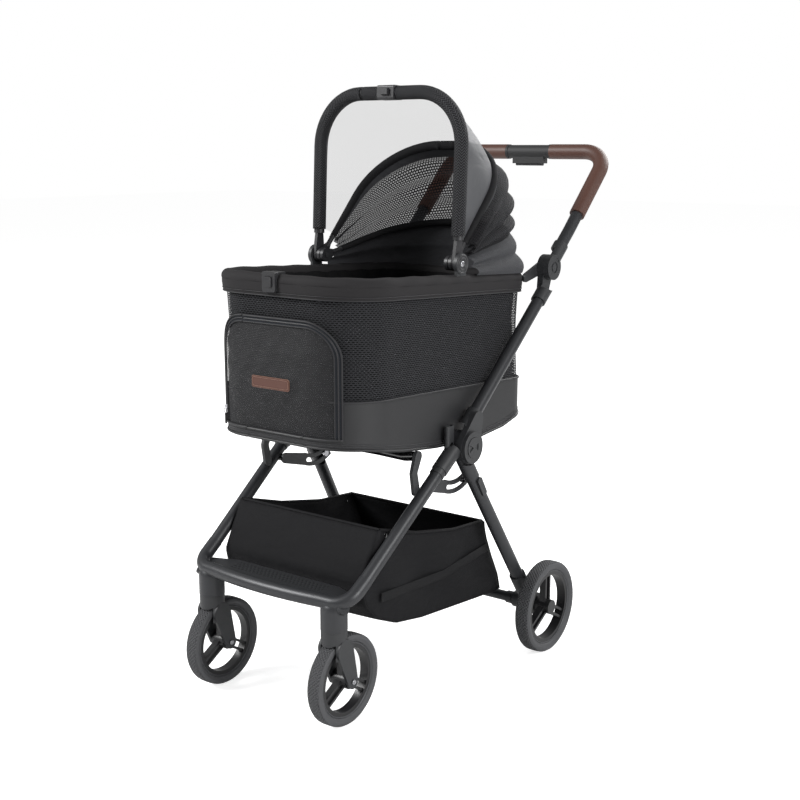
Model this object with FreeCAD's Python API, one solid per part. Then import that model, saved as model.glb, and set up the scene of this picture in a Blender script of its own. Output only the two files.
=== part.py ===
import FreeCAD, Part
import math
import os
from FreeCAD import Placement, Rotation, Vector

# Pet stroller, millimetres. +Z is up, the front faces -Y, and +X is the left hand of the
# person who pushes it. The origin is on the floor, under the middle of the stroller.

# ---- fits ----
FIT = 0.1          # fixed pieces that seat in each other, per side
RUN = 0.05         # pins in their bores, radial
AIR = 0.5          # pieces that pass each other
CLOTH_GAP = 0.3    # fabric beside a hard piece

# ---- overall layout ----
FRAME_X = 200.0            # middle of the leg and handle tubes at the hub
TUBE_R = 12.5
TUBE_WALL = 1.5
HUB_Y = -86.0
HUB_Z = 466.0
HUB_R = 32.0
HUB_CLEAR_R = 46.0         # space round the hub in which only the rear leg turns
HUB_SPLIT_X = 204.0        # face between the turning half and the fixed half
PIN_R = 7.0

# ---- wheels ----
FRONT_WHEEL_R = 86.0
FRONT_TYRE_WIDTH = 30.0
FRONT_TYRE_DEPTH = 16.0
REAR_WHEEL_R = 95.0
REAR_TYRE_WIDTH = 33.0
REAR_TYRE_DEPTH = 18.0
REAR_WHEEL_X = 266.0
REAR_WHEEL_Y = 123.0
CASTER_X = 153.0
CASTER_Y = -419.5
CASTER_TRAIL = 24.0
CASTER_R = 24.5
CASTER_JOINT_Z = 2 * FRONT_WHEEL_R + 17.0
CASTER_PIN_R = 8.0
FRONT_AXLE_R = 5.0
REAR_AXLE_R = 6.0
HUB_FACE_GAP = 1.0         # wheel hub to fork arm, or to bracket

# ---- front frame ----
LEG_ANGLE = 37.0           # front legs, from level
LEG_RISE = 18.6            # leg axis above the hub centre, square to the leg
LEG_LENGTH = 345.0         # from beside the hub to the corner elbow's joint line
LEG_FOOT_X = 188.0
CORNER_X = 185.0
CORNER_Y = -423.0
CORNER_Z = CASTER_JOINT_Z + 51.0
CORNER_BEND = 36.0
ELBOW_R = 13.1
BAR_X = 128.0              # where the cross bar meets the elbows
BAR_Y = -431.0
BAR_BOW = 10.0
BAR_Z = CORNER_Z + 2.0
PLATE_REAR_Y = -372.0
PLATE_THICK = 6.0

# ---- rear legs ----
REAR_TOP_Y = -94.0
REAR_TOP_Z = 456.0
REAR_TOP_X = 198.0
REAR_FOOT_X = 230.0
REAR_TUBE_R = 13.0
REAR_KNUCKLE_R = 30.0
REAR_NECK_AIR = 5.0        # rear leg's neck, outside the fixed half of the hub
REAR_AXLE_TUBE_R = 10.5
DRUM_R = 23.0
DRUM_X = 218.0
FOLD_ANGLE = 40.0          # how far the rear legs swing forward
SLOT_R = 83.0              # slot pin, from the hub centre
SLOT_PIN_R = 4.0
SLOT_PIN_ANGLE = -66.5     # slot pin at rest, seen from the hub, from level
BASE_LOOP_R = 9.0

# ---- handle ----
HANDLE_ANGLE = 40.5        # lower handle tubes, from level
HANDLE_RISE = 20.3         # lower tube axis above the hub centre, square to the tube
KNUCKLE_ALONG = 440.0      # knuckle centre, along the lower tube
KNUCKLE_OFFSET = 25.0      # knuckle centre, above the lower tube axis
KNUCKLE_R = 26.0
KNUCKLE_CLEAR_R = 48.0     # space round the knuckle pin that the other half turns through
KNUCKLE_PIN_R = 6.0
KNUCKLE_INNER_X = 187.0
SADDLE_Y = 300.0           # slight bend in the upper tubes
SADDLE_Z = 858.0
BAR_END_Y = 465.0
BAR_END_Z = 1018.0
BAR_END_BEND = 60.0
GRIP_WALL = 4.0
GRIP_START_Y = 331.0
SLEEVE_X = 57.0
SLEEVE_WALL = 2.5
TRIGGER_TRAVEL = 5.0

# ---- carrier ----
CARRIER_X = 180.0          # outer face of the fabric walls
CARRIER_FRONT = -396.0
CARRIER_REAR = 168.0
FRONT_CORNER_R = 105.0
REAR_CORNER_R = 42.0
WALL = 4.0
RIM_FRONT_Z = 797.0        # middle of the rim tube at the front
RIM_TILT = 3.0             # the rim falls towards the rear
RIM_TUBE_R = 7.0
RIM_COVER_R = 11.0
RIM_INSET = 6.0            # rim tube axis, in from the wall's outer face
RIM_EAR_IN = 14.0          # the rim's ears, ahead of the carrier's rear
RIM_STUB_R = RIM_TUBE_R - 2.0
FLOOR_Z = 514.0
FLOOR_THICK = 4.0
MAT_THICK = 26.0
LATCH_FRONT = CARRIER_FRONT - 12.0    # front face of the rim latch
LATCH_HALF = 15.5
LATCH_BUTTON = 8.0
LATCH_WELL = 7.0           # depth of the button's well
LATCH_BUTTON_PROUD = 2.5
LATCH_BUTTON_LENGTH = 6.0
DOOR_X = 142.0
DOOR_BOTTOM = 522.0
DOOR_TOP = 731.0
DOOR_CORNER_R = 66.0
DOOR_THICK = 3.0
DOORWAY_MARGIN = 14.0      # the opening is smaller than the door by this, all round

# ---- canopy ----
PIVOT_Y = -72.0
PIVOT_Z = 813.0
PIVOT_R = 20.0
PIVOT_PIN_R = 5.0
HOOP_X = CARRIER_X - 8.0
HOOP_REACH = 318.0
HOOP_R = 10.5
HOOP_CORNER = 100.0
HOOP_ANGLE = 87.2
BOW_R = 5.0
MID_BOW_X = CARRIER_X - 16.9
MID_BOW_REACH = 304.0
MID_BOW_CORNER = 140.0
MID_BOW_ANGLE = 46.0
REAR_BOW_X = CARRIER_X - 25.8
REAR_BOW_REACH = 296.0
REAR_BOW_CORNER = 130.0
REAR_BOW_ANGLE = 11.0
LUG_THICK = 7.0
HOOD_THICK = 3.0
HOOD_START_R = 112.0       # the hood fabric begins this far from the pivots
HOOD_MARGIN = 1.7          # degrees between the fabric and a bow beside it
HOOP_MARGIN = 5.6          # degrees between the fabric and the hoop

# ---- storage basket ----
BASKET_X = 171.0
BASKET_WALL = 3.0
BASKET_FRONT_TOP = (-312.0, 345.0)
BASKET_FRONT_LOW = (-362.0, 256.0)
BASKET_SAG_Z = 140.0
BASKET_REAR_LOW = (98.0, 116.0)
BASKET_REAR_TOP = (26.0, 280.0)

SIDES = (("left", 1.0), ("right", -1.0))


# ---- small helpers ----
def vec(x, y, z):
    return Vector(x, y, z)


def rod(start, end, radius):
    line = end - start
    return Part.makeCylinder(radius, line.Length, start, line)


def disc(x0, x1, y, z, radius):
    """A round plate across X."""
    low = min(x0, x1)
    return Part.makeCylinder(radius, abs(x1 - x0), vec(low, y, z), vec(1, 0, 0))


def block(x0, x1, y0, y1, z0, z1):
    low = vec(min(x0, x1), min(y0, y1), min(z0, z1))
    return Part.makeBox(abs(x1 - x0), abs(y1 - y0), abs(z1 - z0), low)


def prism_x(points, x0, x1):
    """A plate across X with the given outline of (y, z) points."""
    low = min(x0, x1)
    loop = [vec(low, y, z) for y, z in points]
    face = Part.Face(Part.makePolygon(loop + loop[:1]))
    return face.extrude(vec(abs(x1 - x0), 0, 0))


def fuse(shapes):
    return shapes[0].multiFuse(list(shapes[1:])).removeSplitter()


def cut(shape, tools):
    for tool in tools:
        shape = shape.cut(tool)
    return shape


def flip(shape):
    """The same shape on the other side of the stroller."""
    return shape.mirror(vec(0, 0, 0), vec(1, 0, 0))


def on_side(shape, side):
    return shape if side > 0 else flip(shape)


def both(shape):
    return Part.makeCompound([shape, flip(shape)])


def save(name, shape):
    shape.exportStep("parts/" + name + ".step")


def tapered_plate(y0, z0, r0, y1, z1, r1, x0, x1):
    """A plate across X round two discs, with straight sides that touch both."""
    gap = math.hypot(y1 - y0, z1 - z0)
    heading = math.atan2(z1 - z0, y1 - y0)
    spread = math.acos((r0 - r1) / gap)
    corners = []
    for y, z, radius, turn in ((y0, z0, r0, spread), (y1, z1, r1, spread),
                               (y1, z1, r1, -spread), (y0, z0, r0, -spread)):
        angle = heading + turn
        corners.append((y + radius * math.cos(angle), z + radius * math.sin(angle)))
    return fuse([disc(x0, x1, y0, z0, r0), disc(x0, x1, y1, z1, r1), prism_x(corners, x0, x1)])


def route(points, bends):
    """A wire through the points, with a round bend of its own radius at each inner one."""
    edges = []
    last = points[0]
    for i in range(1, len(points) - 1):
        here = points[i]
        back = (points[i - 1] - here).normalize()
        ahead = (points[i + 1] - here).normalize()
        half = math.acos(max(-1.0, min(1.0, back.dot(ahead)))) / 2
        trim = bends[i - 1] / math.tan(half)
        start = here + back * trim
        end = here + ahead * trim
        middle_way = (back + ahead).normalize()
        centre = here + middle_way * (bends[i - 1] / math.sin(half))
        top = centre - middle_way * bends[i - 1]
        edges.append(Part.LineSegment(last, start).toShape())
        edges.append(Part.Arc(start, top, end).toShape())
        last = end
    edges.append(Part.LineSegment(last, points[-1]).toShape())
    return Part.Wire(edges)


def sweep(wire, radius):
    first = wire.Edges[0]
    start = first.valueAt(first.FirstParameter)
    along = first.tangentAt(first.FirstParameter)
    ring = Part.Wire([Part.makeCircle(radius, start, along)])
    return wire.makePipeShell([ring], True, True)


def hollow_sweep(wire, radius, bore):
    return sweep(wire, radius).cut(sweep(wire, bore))


def turned_x(outline, x, y, z):
    """A ring round the X axis through (y, z), from an outline of (x offset, radius) points."""
    loop = [vec(x + offset, y, z + radius) for offset, radius in outline]
    face = Part.Face(Part.makePolygon(loop + loop[:1]))
    return face.revolve(vec(x, y, z), vec(1, 0, 0), 360)


# ---- lines that several pieces share ----
def polar(y, z, reach, degrees):
    angle = math.radians(degrees)
    return (y + reach * math.cos(angle), z + reach * math.sin(angle))


GRIP_R = TUBE_R + GRIP_WALL
SLEEVE_R = TUBE_R + SLEEVE_WALL
HANDLE_FOOT = polar(HUB_Y, HUB_Z, HANDLE_RISE, HANDLE_ANGLE + 90)
LEG_TOP = polar(HUB_Y, HUB_Z, LEG_RISE, LEG_ANGLE + 90)
KNUCKLE_LINE = polar(*HANDLE_FOOT, KNUCKLE_ALONG, HANDLE_ANGLE)
KNUCKLE = polar(*KNUCKLE_LINE, KNUCKLE_OFFSET, HANDLE_ANGLE + 90)
UPPER_ANGLE = math.degrees(math.atan2(SADDLE_Z - KNUCKLE[1], SADDLE_Y - KNUCKLE[0]))
REAR_WHEEL = (REAR_WHEEL_Y, REAR_WHEEL_R)
FRONT_AXLE = (CASTER_Y + CASTER_TRAIL, FRONT_WHEEL_R)


def handle_point(along):
    y, z = polar(*HANDLE_FOOT, along, HANDLE_ANGLE)
    return vec(FRAME_X, y, z)


def leg_point(along):
    y, z = polar(*LEG_TOP, along, LEG_ANGLE + 180)
    share = along / LEG_LENGTH
    return vec(FRAME_X + (LEG_FOOT_X - FRAME_X) * share, y, z)


REAR_START = vec(REAR_TOP_X, REAR_TOP_Y, REAR_TOP_Z)
REAR_END = vec(REAR_FOOT_X, *REAR_WHEEL)


def rear_point(along):
    return REAR_START + (REAR_END - REAR_START).normalize() * along


REAR_LENGTH = (REAR_END - REAR_START).Length
LEG_SOCKET = 30.0                  # how deep a tube end sits in its socket
REAR_SLEEVE_END = 66.0
SOCKET_START = REAR_LENGTH - 84.0


def rim_z(y):
    return RIM_FRONT_Z - (y - CARRIER_FRONT - RIM_INSET) * math.tan(math.radians(RIM_TILT))


# ---- front frame ----
def leg_tube(grow=0.0):
    """The front leg tube, from inside its upper housing to inside the corner elbow."""
    start = leg_point(HUB_CLEAR_R - 4)
    end = leg_point(LEG_LENGTH + LEG_SOCKET)
    solid = rod(start, end, TUBE_R + grow)
    if grow:
        return solid
    return solid.cut(rod(start, end, TUBE_R - TUBE_WALL))


def handle_tube(grow=0.0):
    """The lower handle tube, from the hub sleeve to the knuckle socket."""
    start = handle_point(HUB_CLEAR_R)
    end = handle_point(KNUCKLE_ALONG - 46)
    solid = rod(start, end, TUBE_R + grow)
    if grow:
        return solid
    return solid.cut(rod(start, end, TUBE_R - TUBE_WALL))


def hub_housing():
    """Teardrop housing: the handle tube's sleeve and the fixed outer disc of the hub."""
    sleeve_y, sleeve_z = polar(*HANDLE_FOOT, 52, HANDLE_ANGLE)
    drop = tapered_plate(HUB_Y, HUB_Z, HUB_R, sleeve_y, sleeve_z, 16.5, HUB_SPLIT_X, 216.5)
    face = disc(HUB_SPLIT_X, 224, HUB_Y, HUB_Z, HUB_R - 1)
    sleeve = rod(handle_point(24), handle_point(69), 16.5)
    body = fuse([drop, face, sleeve])
    turning = disc(170, HUB_SPLIT_X, HUB_Y, HUB_Z, HUB_CLEAR_R)
    recess = disc(221, 226, HUB_Y, HUB_Z, 20.5)
    return cut(body, [turning, recess, handle_tube(FIT), disc(180, 218, HUB_Y, HUB_Z, PIN_R + FIT)])


def hub_cap():
    """Round cap in the hub's recess, with two opposed wedge dips for grip."""
    cap = disc(221 + FIT, 225, HUB_Y, HUB_Z, 20)
    wedge_tip = 2.0
    dips = []
    for turn in (0, 180):
        a = polar(HUB_Y, HUB_Z, 16, turn - 28)
        b = polar(HUB_Y, HUB_Z, 16, turn + 28)
        c = polar(HUB_Y, HUB_Z, wedge_tip, turn)
        dips.append(prism_x([a, b, c], 223.4, 226))
    return cut(cap, dips)


def leg_collar(housing):
    """Upper housing of the front leg, behind the teardrop, with its ring."""
    sleeve = rod(leg_point(26), leg_point(81), 15.8)
    ring = rod(leg_point(81), leg_point(92), 14.2)
    turning = disc(170, HUB_SPLIT_X, HUB_Y, HUB_Z, HUB_CLEAR_R)
    outside = block(216.5, 240, -300, 0, 300, 600)
    body = fuse([sleeve, ring])
    body = cut(body, [turning, housing, handle_tube(FIT), leg_tube(FIT), outside])
    return max(body.Solids, key=lambda solid: solid.Volume)


def elbow_outside(grow=0.0):
    """Bent corner tube with the caster's upright housing under it."""
    start = leg_point(LEG_LENGTH)
    corner = vec(CORNER_X, CORNER_Y, CORNER_Z)
    end = vec(BAR_X, BAR_Y, BAR_Z)
    housing_r = CASTER_R + grow
    shoulder_z = CORNER_Z - CASTER_R * 0.62
    bend = sweep(route([start, corner, end], [CORNER_BEND]), ELBOW_R + grow)
    housing_foot = vec(CASTER_X, CASTER_Y, CASTER_JOINT_Z + AIR)
    housing = rod(housing_foot, vec(CASTER_X, CASTER_Y, shoulder_z), housing_r)
    dome = Part.makeSphere(housing_r, vec(CASTER_X, CASTER_Y, shoulder_z))
    shoulder = rod(vec(CASTER_X + 4, CASTER_Y, CORNER_Z - 16), corner - vec(6, 0, 4), TUBE_R + grow)
    return fuse([bend, housing, dome, shoulder])


def corner_elbow():
    stem_top = CASTER_JOINT_Z + 42
    stem = rod(vec(CASTER_X, CASTER_Y, 150), vec(CASTER_X, CASTER_Y, stem_top), CASTER_PIN_R + RUN)
    return cut(elbow_outside(), [stem, leg_tube(FIT)])


def crossbar(grow=0.0):
    """Front cross bar, bowed forward, between the elbows."""
    ends = [vec(x, BAR_Y, BAR_Z) for x in (-BAR_X + FIT, BAR_X - FIT)]
    arc = Part.Arc(ends[0], vec(0, BAR_Y - BAR_BOW, BAR_Z), ends[1]).toShape()
    return sweep(Part.Wire([arc]), ELBOW_R + grow)


def footrest():
    """Ribbed step behind the cross bar, with a wing towards each leg."""
    level = BAR_Z
    wing = [(-126, PLATE_REAR_Y), (126, PLATE_REAR_Y), (178, -392), (178, CORNER_Y), (126, BAR_Y),
            (-126, BAR_Y), (-178, CORNER_Y), (-178, -392)]
    loop = [vec(x, y, level) for x, y in wing]
    plate = Part.Face(Part.makePolygon(loop + loop[:1])).extrude(vec(0, 0, PLATE_THICK))
    grooves = []
    for i in range(4):
        y = PLATE_REAR_Y - 10 - 9 * i
        grooves.append(block(-112, 112, y - 1.5, y + 1.5, level + PLATE_THICK - 2, level + 20))
    elbow = elbow_outside(FIT)
    leg = leg_tube(FIT)
    return cut(plate, [elbow, flip(elbow), crossbar(FIT), leg, flip(leg)] + grooves)


# ---- casters and wheels ----
def tyre(x, y, radius, width, depth):
    """Tyre with a rounded tread and a flat seat for the wheel."""
    half = width / 2
    seat = radius - depth
    outline = [(-half * 0.62, seat), (-half * 0.9, seat + depth * 0.25), (-half, seat + depth * 0.55),
               (-half * 0.86, radius - depth * 0.14), (-half * 0.5, radius), (half * 0.5, radius),
               (half * 0.86, radius - depth * 0.14), (half, seat + depth * 0.55),
               (half * 0.9, seat + depth * 0.25), (half * 0.62, seat)]
    return turned_x(outline, x, y, radius)


def wheel(x, y, radius, width, depth, hub_width, bore, cap_side):
    """Wheel: felloe, three spokes of two ribs each, and a hub. cap_side closes the hub."""
    seat = radius - depth - FIT
    felloe_depth = 10.0
    half = width / 2
    felloe = turned_x([(-half * 0.6, seat - felloe_depth), (half * 0.6, seat - felloe_depth),
                       (half * 0.6, seat), (-half * 0.6, seat)], x, y, radius)
    hub = disc(x - hub_width / 2, x + hub_width / 2, y, radius, 15)
    spokes = []
    for i in range(3):
        for offset in (-7.5, 7.5):
            rib = block(x - half * 0.42, x + half * 0.42, y + offset - 2.6, y + offset + 2.6,
                        radius + 8, radius + seat - felloe_depth + 2)
            rib.rotate(vec(x, y, radius), vec(1, 0, 0), 120 * i)
            spokes.append(rib)
    body = fuse([hub, felloe] + spokes)
    reach = hub_width / 2 + 2
    if cap_side:
        closed = cap_side * (hub_width / 2 - 2.5)
        return cut(body, [disc(x - cap_side * reach, x + closed, y, radius, bore)])
    return cut(body, [disc(x - reach, x + reach, y, radius, bore)])


def caster_fork():
    """Swivelling fork with its stem, and its axle pin as a second solid."""
    y, z = FRONT_AXLE
    outer = CASTER_R - 0.5
    arm_inner = FRONT_TYRE_WIDTH / 2 + 1.5 + HUB_FACE_GAP
    column_foot = vec(CASTER_X, CASTER_Y, CASTER_JOINT_Z - 53)
    column = rod(column_foot, vec(CASTER_X, CASTER_Y, CASTER_JOINT_Z), outer)
    stem_top = CASTER_JOINT_Z + 40
    stem = rod(vec(CASTER_X, CASTER_Y, CASTER_JOINT_Z - 9), vec(CASTER_X, CASTER_Y, stem_top), CASTER_PIN_R)
    arms = tapered_plate(CASTER_Y + 4, CASTER_JOINT_Z - 37, 21, y, z, 13,
                         CASTER_X - outer, CASTER_X + outer)
    shell = fuse([column, arms])
    wheel_space = disc(CASTER_X - arm_inner, CASTER_X + arm_inner, y, z, FRONT_WHEEL_R + 4)
    axle_hole = disc(CASTER_X - 30, CASTER_X + 30, y, z, FRONT_AXLE_R + FIT / 2)
    shell = cut(fuse([shell.cut(wheel_space), stem]), [axle_hole])
    axle = disc(CASTER_X - outer - 1.5, CASTER_X + outer + 1.5, y, z, FRONT_AXLE_R)
    return Part.makeCompound([shell, axle])


def rear_leg():
    """Rear leg tube, and the forged knuckle that turns on the hub pin as a second solid."""
    tube_start = rear_point(40)
    tube_end = rear_point(SOCKET_START + LEG_SOCKET)
    outer_tube = rod(tube_start, tube_end, REAR_TUBE_R)
    tube = outer_tube.cut(rod(tube_start, tube_end, REAR_TUBE_R - TUBE_WALL))
    half = disc(187, HUB_SPLIT_X - AIR, HUB_Y, HUB_Z, REAR_KNUCKLE_R)
    neck = rod(rear_point(8), rear_point(REAR_SLEEVE_END), 15.2)
    fixed_disc = disc(HUB_SPLIT_X - AIR, 240, HUB_Y, HUB_Z, HUB_R + REAR_NECK_AIR)
    knuckle = cut(fuse([half, neck.cut(fixed_disc)]),
                  [disc(180, 230, HUB_Y, HUB_Z, PIN_R + RUN), rod(tube_start, tube_end, REAR_TUBE_R + FIT)])
    pocket = button_shape(0.3, -30)
    tube = tube.cut(pocket)
    return Part.makeCompound([tube, knuckle])


BUTTON_ALONG = 88.0
BUTTON_HALF = 16.0
BUTTON_R = 7.0
BUTTON_TRAVEL = 3.0


def button_shape(grow, depth):
    """Rounded bar that lies along the rear leg, standing out of its outer side."""
    upper = rear_point(BUTTON_ALONG - BUTTON_HALF)
    lower = rear_point(BUTTON_ALONG + BUTTON_HALF)
    radius = BUTTON_R + grow
    face = rear_point(BUTTON_ALONG).x + REAR_TUBE_R + 3.5
    return tapered_plate(upper.y, upper.z, radius, lower.y, lower.z, radius - 0.01, face + depth, face)


def leg_button():
    return button_shape(0.0, -11)


def wheel_bracket():
    """Foot of the rear leg: tube socket, arm and brake drum."""
    y, z = REAR_WHEEL
    inner_face = REAR_WHEEL_X - REAR_TYRE_WIDTH / 2 - HUB_FACE_GAP - 2
    socket = rod(rear_point(SOCKET_START), rear_point(SOCKET_START + 44), 16.5)
    arm_start = rear_point(SOCKET_START + 34)
    arm = tapered_plate(arm_start.y, arm_start.z, 15, y, z, 17, REAR_FOOT_X - 8, REAR_FOOT_X + 8)
    drum = disc(DRUM_X, inner_face, y, z, DRUM_R)
    body = fuse([socket, arm, drum])
    tube_space = rod(rear_point(SOCKET_START - 5), rear_point(SOCKET_START + LEG_SOCKET), REAR_TUBE_R + FIT)
    return cut(body, [tube_space, disc(200, DRUM_X + 8, y, z, REAR_AXLE_TUBE_R + FIT),
                      disc(200, 300, y, z, REAR_AXLE_R + FIT / 2)])


def rear_axle_tube():
    y, z = REAR_WHEEL
    reach = DRUM_X + 7
    tube = disc(-reach, reach, y, z, REAR_AXLE_TUBE_R)
    collars = [disc(side * 176, side * 190, y, z, REAR_AXLE_TUBE_R + 2.5) for side in (1, -1)]
    body = fuse([tube] + collars)
    return body.cut(disc(-reach - 1, reach + 1, y, z, REAR_AXLE_TUBE_R - 2))


def rear_pins():
    """Wheel axle pin and fold slot pin."""
    y, z = REAR_WHEEL
    axle = disc(DRUM_X + 9, REAR_WHEEL_X + 12, y, z, REAR_AXLE_R)
    slot_y, slot_z = polar(HUB_Y, HUB_Z, SLOT_R, SLOT_PIN_ANGLE)
    slot = disc(175.5, 190, slot_y, slot_z, SLOT_PIN_R)
    head = disc(174, 175.5, slot_y, slot_z, SLOT_PIN_R + 3)
    along = rear_point(72)
    slot_pin = fuse([slot, head]).cut(rod(rear_point(30), rear_point(200), REAR_TUBE_R + FIT))
    slot_pin = slot_pin.cut(rod(rear_point(8), along, 15.2 + FIT))
    return [axle, slot_pin]


def brake_pedal():
    """Foot lever on the rear axle tube, pressed down to lock the wheels."""
    y, z = REAR_WHEEL
    ring = disc(194, 212, y, z, 17)
    arm = tapered_plate(y, z, 15, y + 44, z + 14, 7, 197, 209)
    pad = block(190, 216, y + 34, y + 62, z + 12, z + 19)
    body = fuse([ring, arm, pad])
    return body.cut(disc(180, 220, y, z, REAR_AXLE_TUBE_R + RUN))


# ---- hub level links ----
def slot_plate():
    """Plate under the hub whose curved slot guides the rear leg's pin through the fold."""
    x0 = 177.0
    x1 = 181.0
    band = disc(x0, x1, HUB_Y, HUB_Z, SLOT_R + 13).cut(disc(x0, x1, HUB_Y, HUB_Z, SLOT_R - 13))
    start = SLOT_PIN_ANGLE - FOLD_ANGLE - 9
    end = SLOT_PIN_ANGLE + 9
    wedge = [(HUB_Y, HUB_Z)]
    steps = 6
    for i in range(steps + 1):
        wedge.append(polar(HUB_Y, HUB_Z, 130, start + (end - start) * i / steps))
    band = band.common(prism_x(wedge, x0, x1))
    tail_y, tail_z = polar(HUB_Y, HUB_Z, SLOT_R, start + 4)
    plate = fuse([band, tapered_plate(tail_y, tail_z, 12.9, -177, 403, 11, x0, x1)])
    slot_cutters = []
    for i in range(23):
        angle = SLOT_PIN_ANGLE - FOLD_ANGLE * i / 22
        y, z = polar(HUB_Y, HUB_Z, SLOT_R, angle)
        slot_cutters.append(disc(x0 - 1, x1 + 1, y, z, SLOT_PIN_R + AIR))
    ring = disc(x0 - 1, x1 + 1, HUB_Y, HUB_Z, SLOT_R + SLOT_PIN_R + AIR)
    ring = ring.cut(disc(x0 - 1, x1 + 1, HUB_Y, HUB_Z, SLOT_R - SLOT_PIN_R - AIR))
    sector = [(HUB_Y, HUB_Z)]
    for i in range(steps + 1):
        sector.append(polar(HUB_Y, HUB_Z, 130, SLOT_PIN_ANGLE - FOLD_ANGLE * i / steps))
    ring = ring.common(prism_x(sector, x0 - 1, x1 + 1))
    plate = cut(plate, [ring, slot_cutters[0], slot_cutters[-1]])
    spacer = disc(x1, 196, -177, 403, 7)
    body = fuse([plate, spacer])
    return body.cut(leg_tube(FIT))


def base_route():
    side = [vec(184, -217, 470), vec(150, -205, 462), vec(70, -186, 458)]
    other = [vec(-point.x, point.y, point.z) for point in reversed(side)]
    return route(side + other, [40, 60, 60, 40])


def base_arm():
    """Curved arm that stands on the front leg and holds the end of the base loop."""
    upper = tapered_plate(-217, 470, 10, -229, 440, 8, 183, 190)
    lower = tapered_plate(-229, 440, 8, -222, 404, 9, 183, 190)
    return cut(fuse([upper, lower]), [leg_tube(FIT), sweep(base_route(), BASE_LOOP_R + FIT)])


def base_post():
    """Oval post on the front leg housing, with a dished top."""
    post = block(187, 199, -136, -113, 462, 512)
    post = post.makeFillet(5.5, [edge for edge in post.Edges if abs(edge.Length - 50) < 0.01])
    dish = block(189, 197, -133, -116, 510, 515)
    turning = disc(180, HUB_SPLIT_X, HUB_Y, HUB_Z, REAR_KNUCKLE_R + AIR)
    body = cut(post, [dish, leg_tube(FIT), rod(leg_point(20), leg_point(92), 15.8 + FIT), turning,
                      rod(handle_point(20), handle_point(70), 16.5 + FIT)])
    return max(body.Solids, key=lambda solid: solid.Volume)


def base_loop():
    """Bowed tube under the carrier, held by the two arms."""
    return hollow_sweep(base_route(), BASE_LOOP_R, BASE_LOOP_R - TUBE_WALL)


# ---- handle ----
def knuckle_lower():
    """Lower half of the handle knuckle, with the socket of the lower tube."""
    y, z = KNUCKLE
    half = disc(KNUCKLE_INNER_X, 200, y, z, KNUCKLE_R)
    socket = rod(handle_point(KNUCKLE_ALONG - 74), handle_point(KNUCKLE_ALONG - 30), 15.5)
    foot = handle_point(KNUCKLE_ALONG - 34)
    arm = tapered_plate(y, z, 20, foot.y, foot.z, 14.5, 187, 200)
    turning = disc(200, 230, y, z, KNUCKLE_CLEAR_R)
    body = fuse([half, arm, socket.cut(turning)])
    return cut(body, [handle_tube(FIT), disc(180, 230, y, z, KNUCKLE_PIN_R + FIT)])


def upper_route():
    """Axis of the upper handle tube, from one knuckle to the other."""
    y, z = polar(*KNUCKLE, 46, UPPER_ANGLE)
    side = [vec(FRAME_X, y, z), vec(FRAME_X, SADDLE_Y, SADDLE_Z), vec(FRAME_X, BAR_END_Y, BAR_END_Z)]
    other = [vec(-point.x, point.y, point.z) for point in reversed(side)]
    return route(side + other, [300, BAR_END_BEND, BAR_END_BEND, 300])


def knuckle_upper():
    """Upper half of the knuckle: the outer disc and the socket of the upper tube."""
    y, z = KNUCKLE
    half = disc(200 + AIR, 214, y, z, KNUCKLE_R)
    near = polar(y, z, 20, UPPER_ANGLE)
    far = polar(y, z, 64, UPPER_ANGLE)
    neck_x = rod(vec(FRAME_X, *near), vec(FRAME_X, *far), 15.5)
    neck_x = neck_x.cut(disc(170, 200 + AIR, y, z, KNUCKLE_CLEAR_R))
    body = fuse([half, neck_x])
    start = polar(y, z, 46, UPPER_ANGLE)
    bore = rod(vec(FRAME_X, *start), vec(FRAME_X, *polar(y, z, 80, UPPER_ANGLE)), TUBE_R + FIT)
    dish = disc(212.5, 216, y, z, 12).cut(disc(211, 217, y, z, 8))
    return cut(body, [bore, dish, disc(180, 210, y, z, KNUCKLE_PIN_R + RUN)])


def arm_z(y):
    """Height of the upper tube's axis between its slight bend and the bar."""
    return SADDLE_Z + (y - SADDLE_Y) * (BAR_END_Z - SADDLE_Z) / (BAR_END_Y - SADDLE_Y)


def grip():
    """Leather sleeve round the arm, the bend and the end of the bar."""
    points = [vec(FRAME_X, GRIP_START_Y, arm_z(GRIP_START_Y)), vec(FRAME_X, BAR_END_Y, BAR_END_Z),
              vec(SLEEVE_X + FIT, BAR_END_Y, BAR_END_Z)]
    return hollow_sweep(route(points, [BAR_END_BEND]), GRIP_R, TUBE_R + FIT)


def handle_sleeve():
    """Sleeve on the middle of the bar, with the trigger's housing under it."""
    sleeve = disc(-SLEEVE_X, SLEEVE_X, BAR_END_Y, BAR_END_Z, SLEEVE_R)
    rings = [disc(side * (SLEEVE_X - 5), side * SLEEVE_X, BAR_END_Y, BAR_END_Z, SLEEVE_R + 1.2)
             for side in (1, -1)]
    foot_z = BAR_END_Z - TUBE_R - 13.5
    box = block(-40, 40, BAR_END_Y - 10, BAR_END_Y + 10, foot_z, BAR_END_Z)
    well = block(-33 - AIR, 33 + AIR, BAR_END_Y - 7 - AIR, BAR_END_Y + 7 + AIR,
                 foot_z - 4, foot_z + 11)
    bore = disc(-SLEEVE_X - 1, SLEEVE_X + 1, BAR_END_Y, BAR_END_Z, TUBE_R + FIT)
    return cut(fuse([sleeve, box] + rings), [bore, well])


def handle_trigger():
    """Finger bar that is squeezed up into its housing to free the fold."""
    top_z = BAR_END_Z - TUBE_R - 8.5
    bar = block(-33, 33, BAR_END_Y - 7, BAR_END_Y + 7, top_z - 10, top_z)
    lower = [edge for edge in bar.Edges if edge.Length > 60 and edge.CenterOfMass.z < top_z - 7]
    return bar.makeFillet(3, lower)


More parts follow.
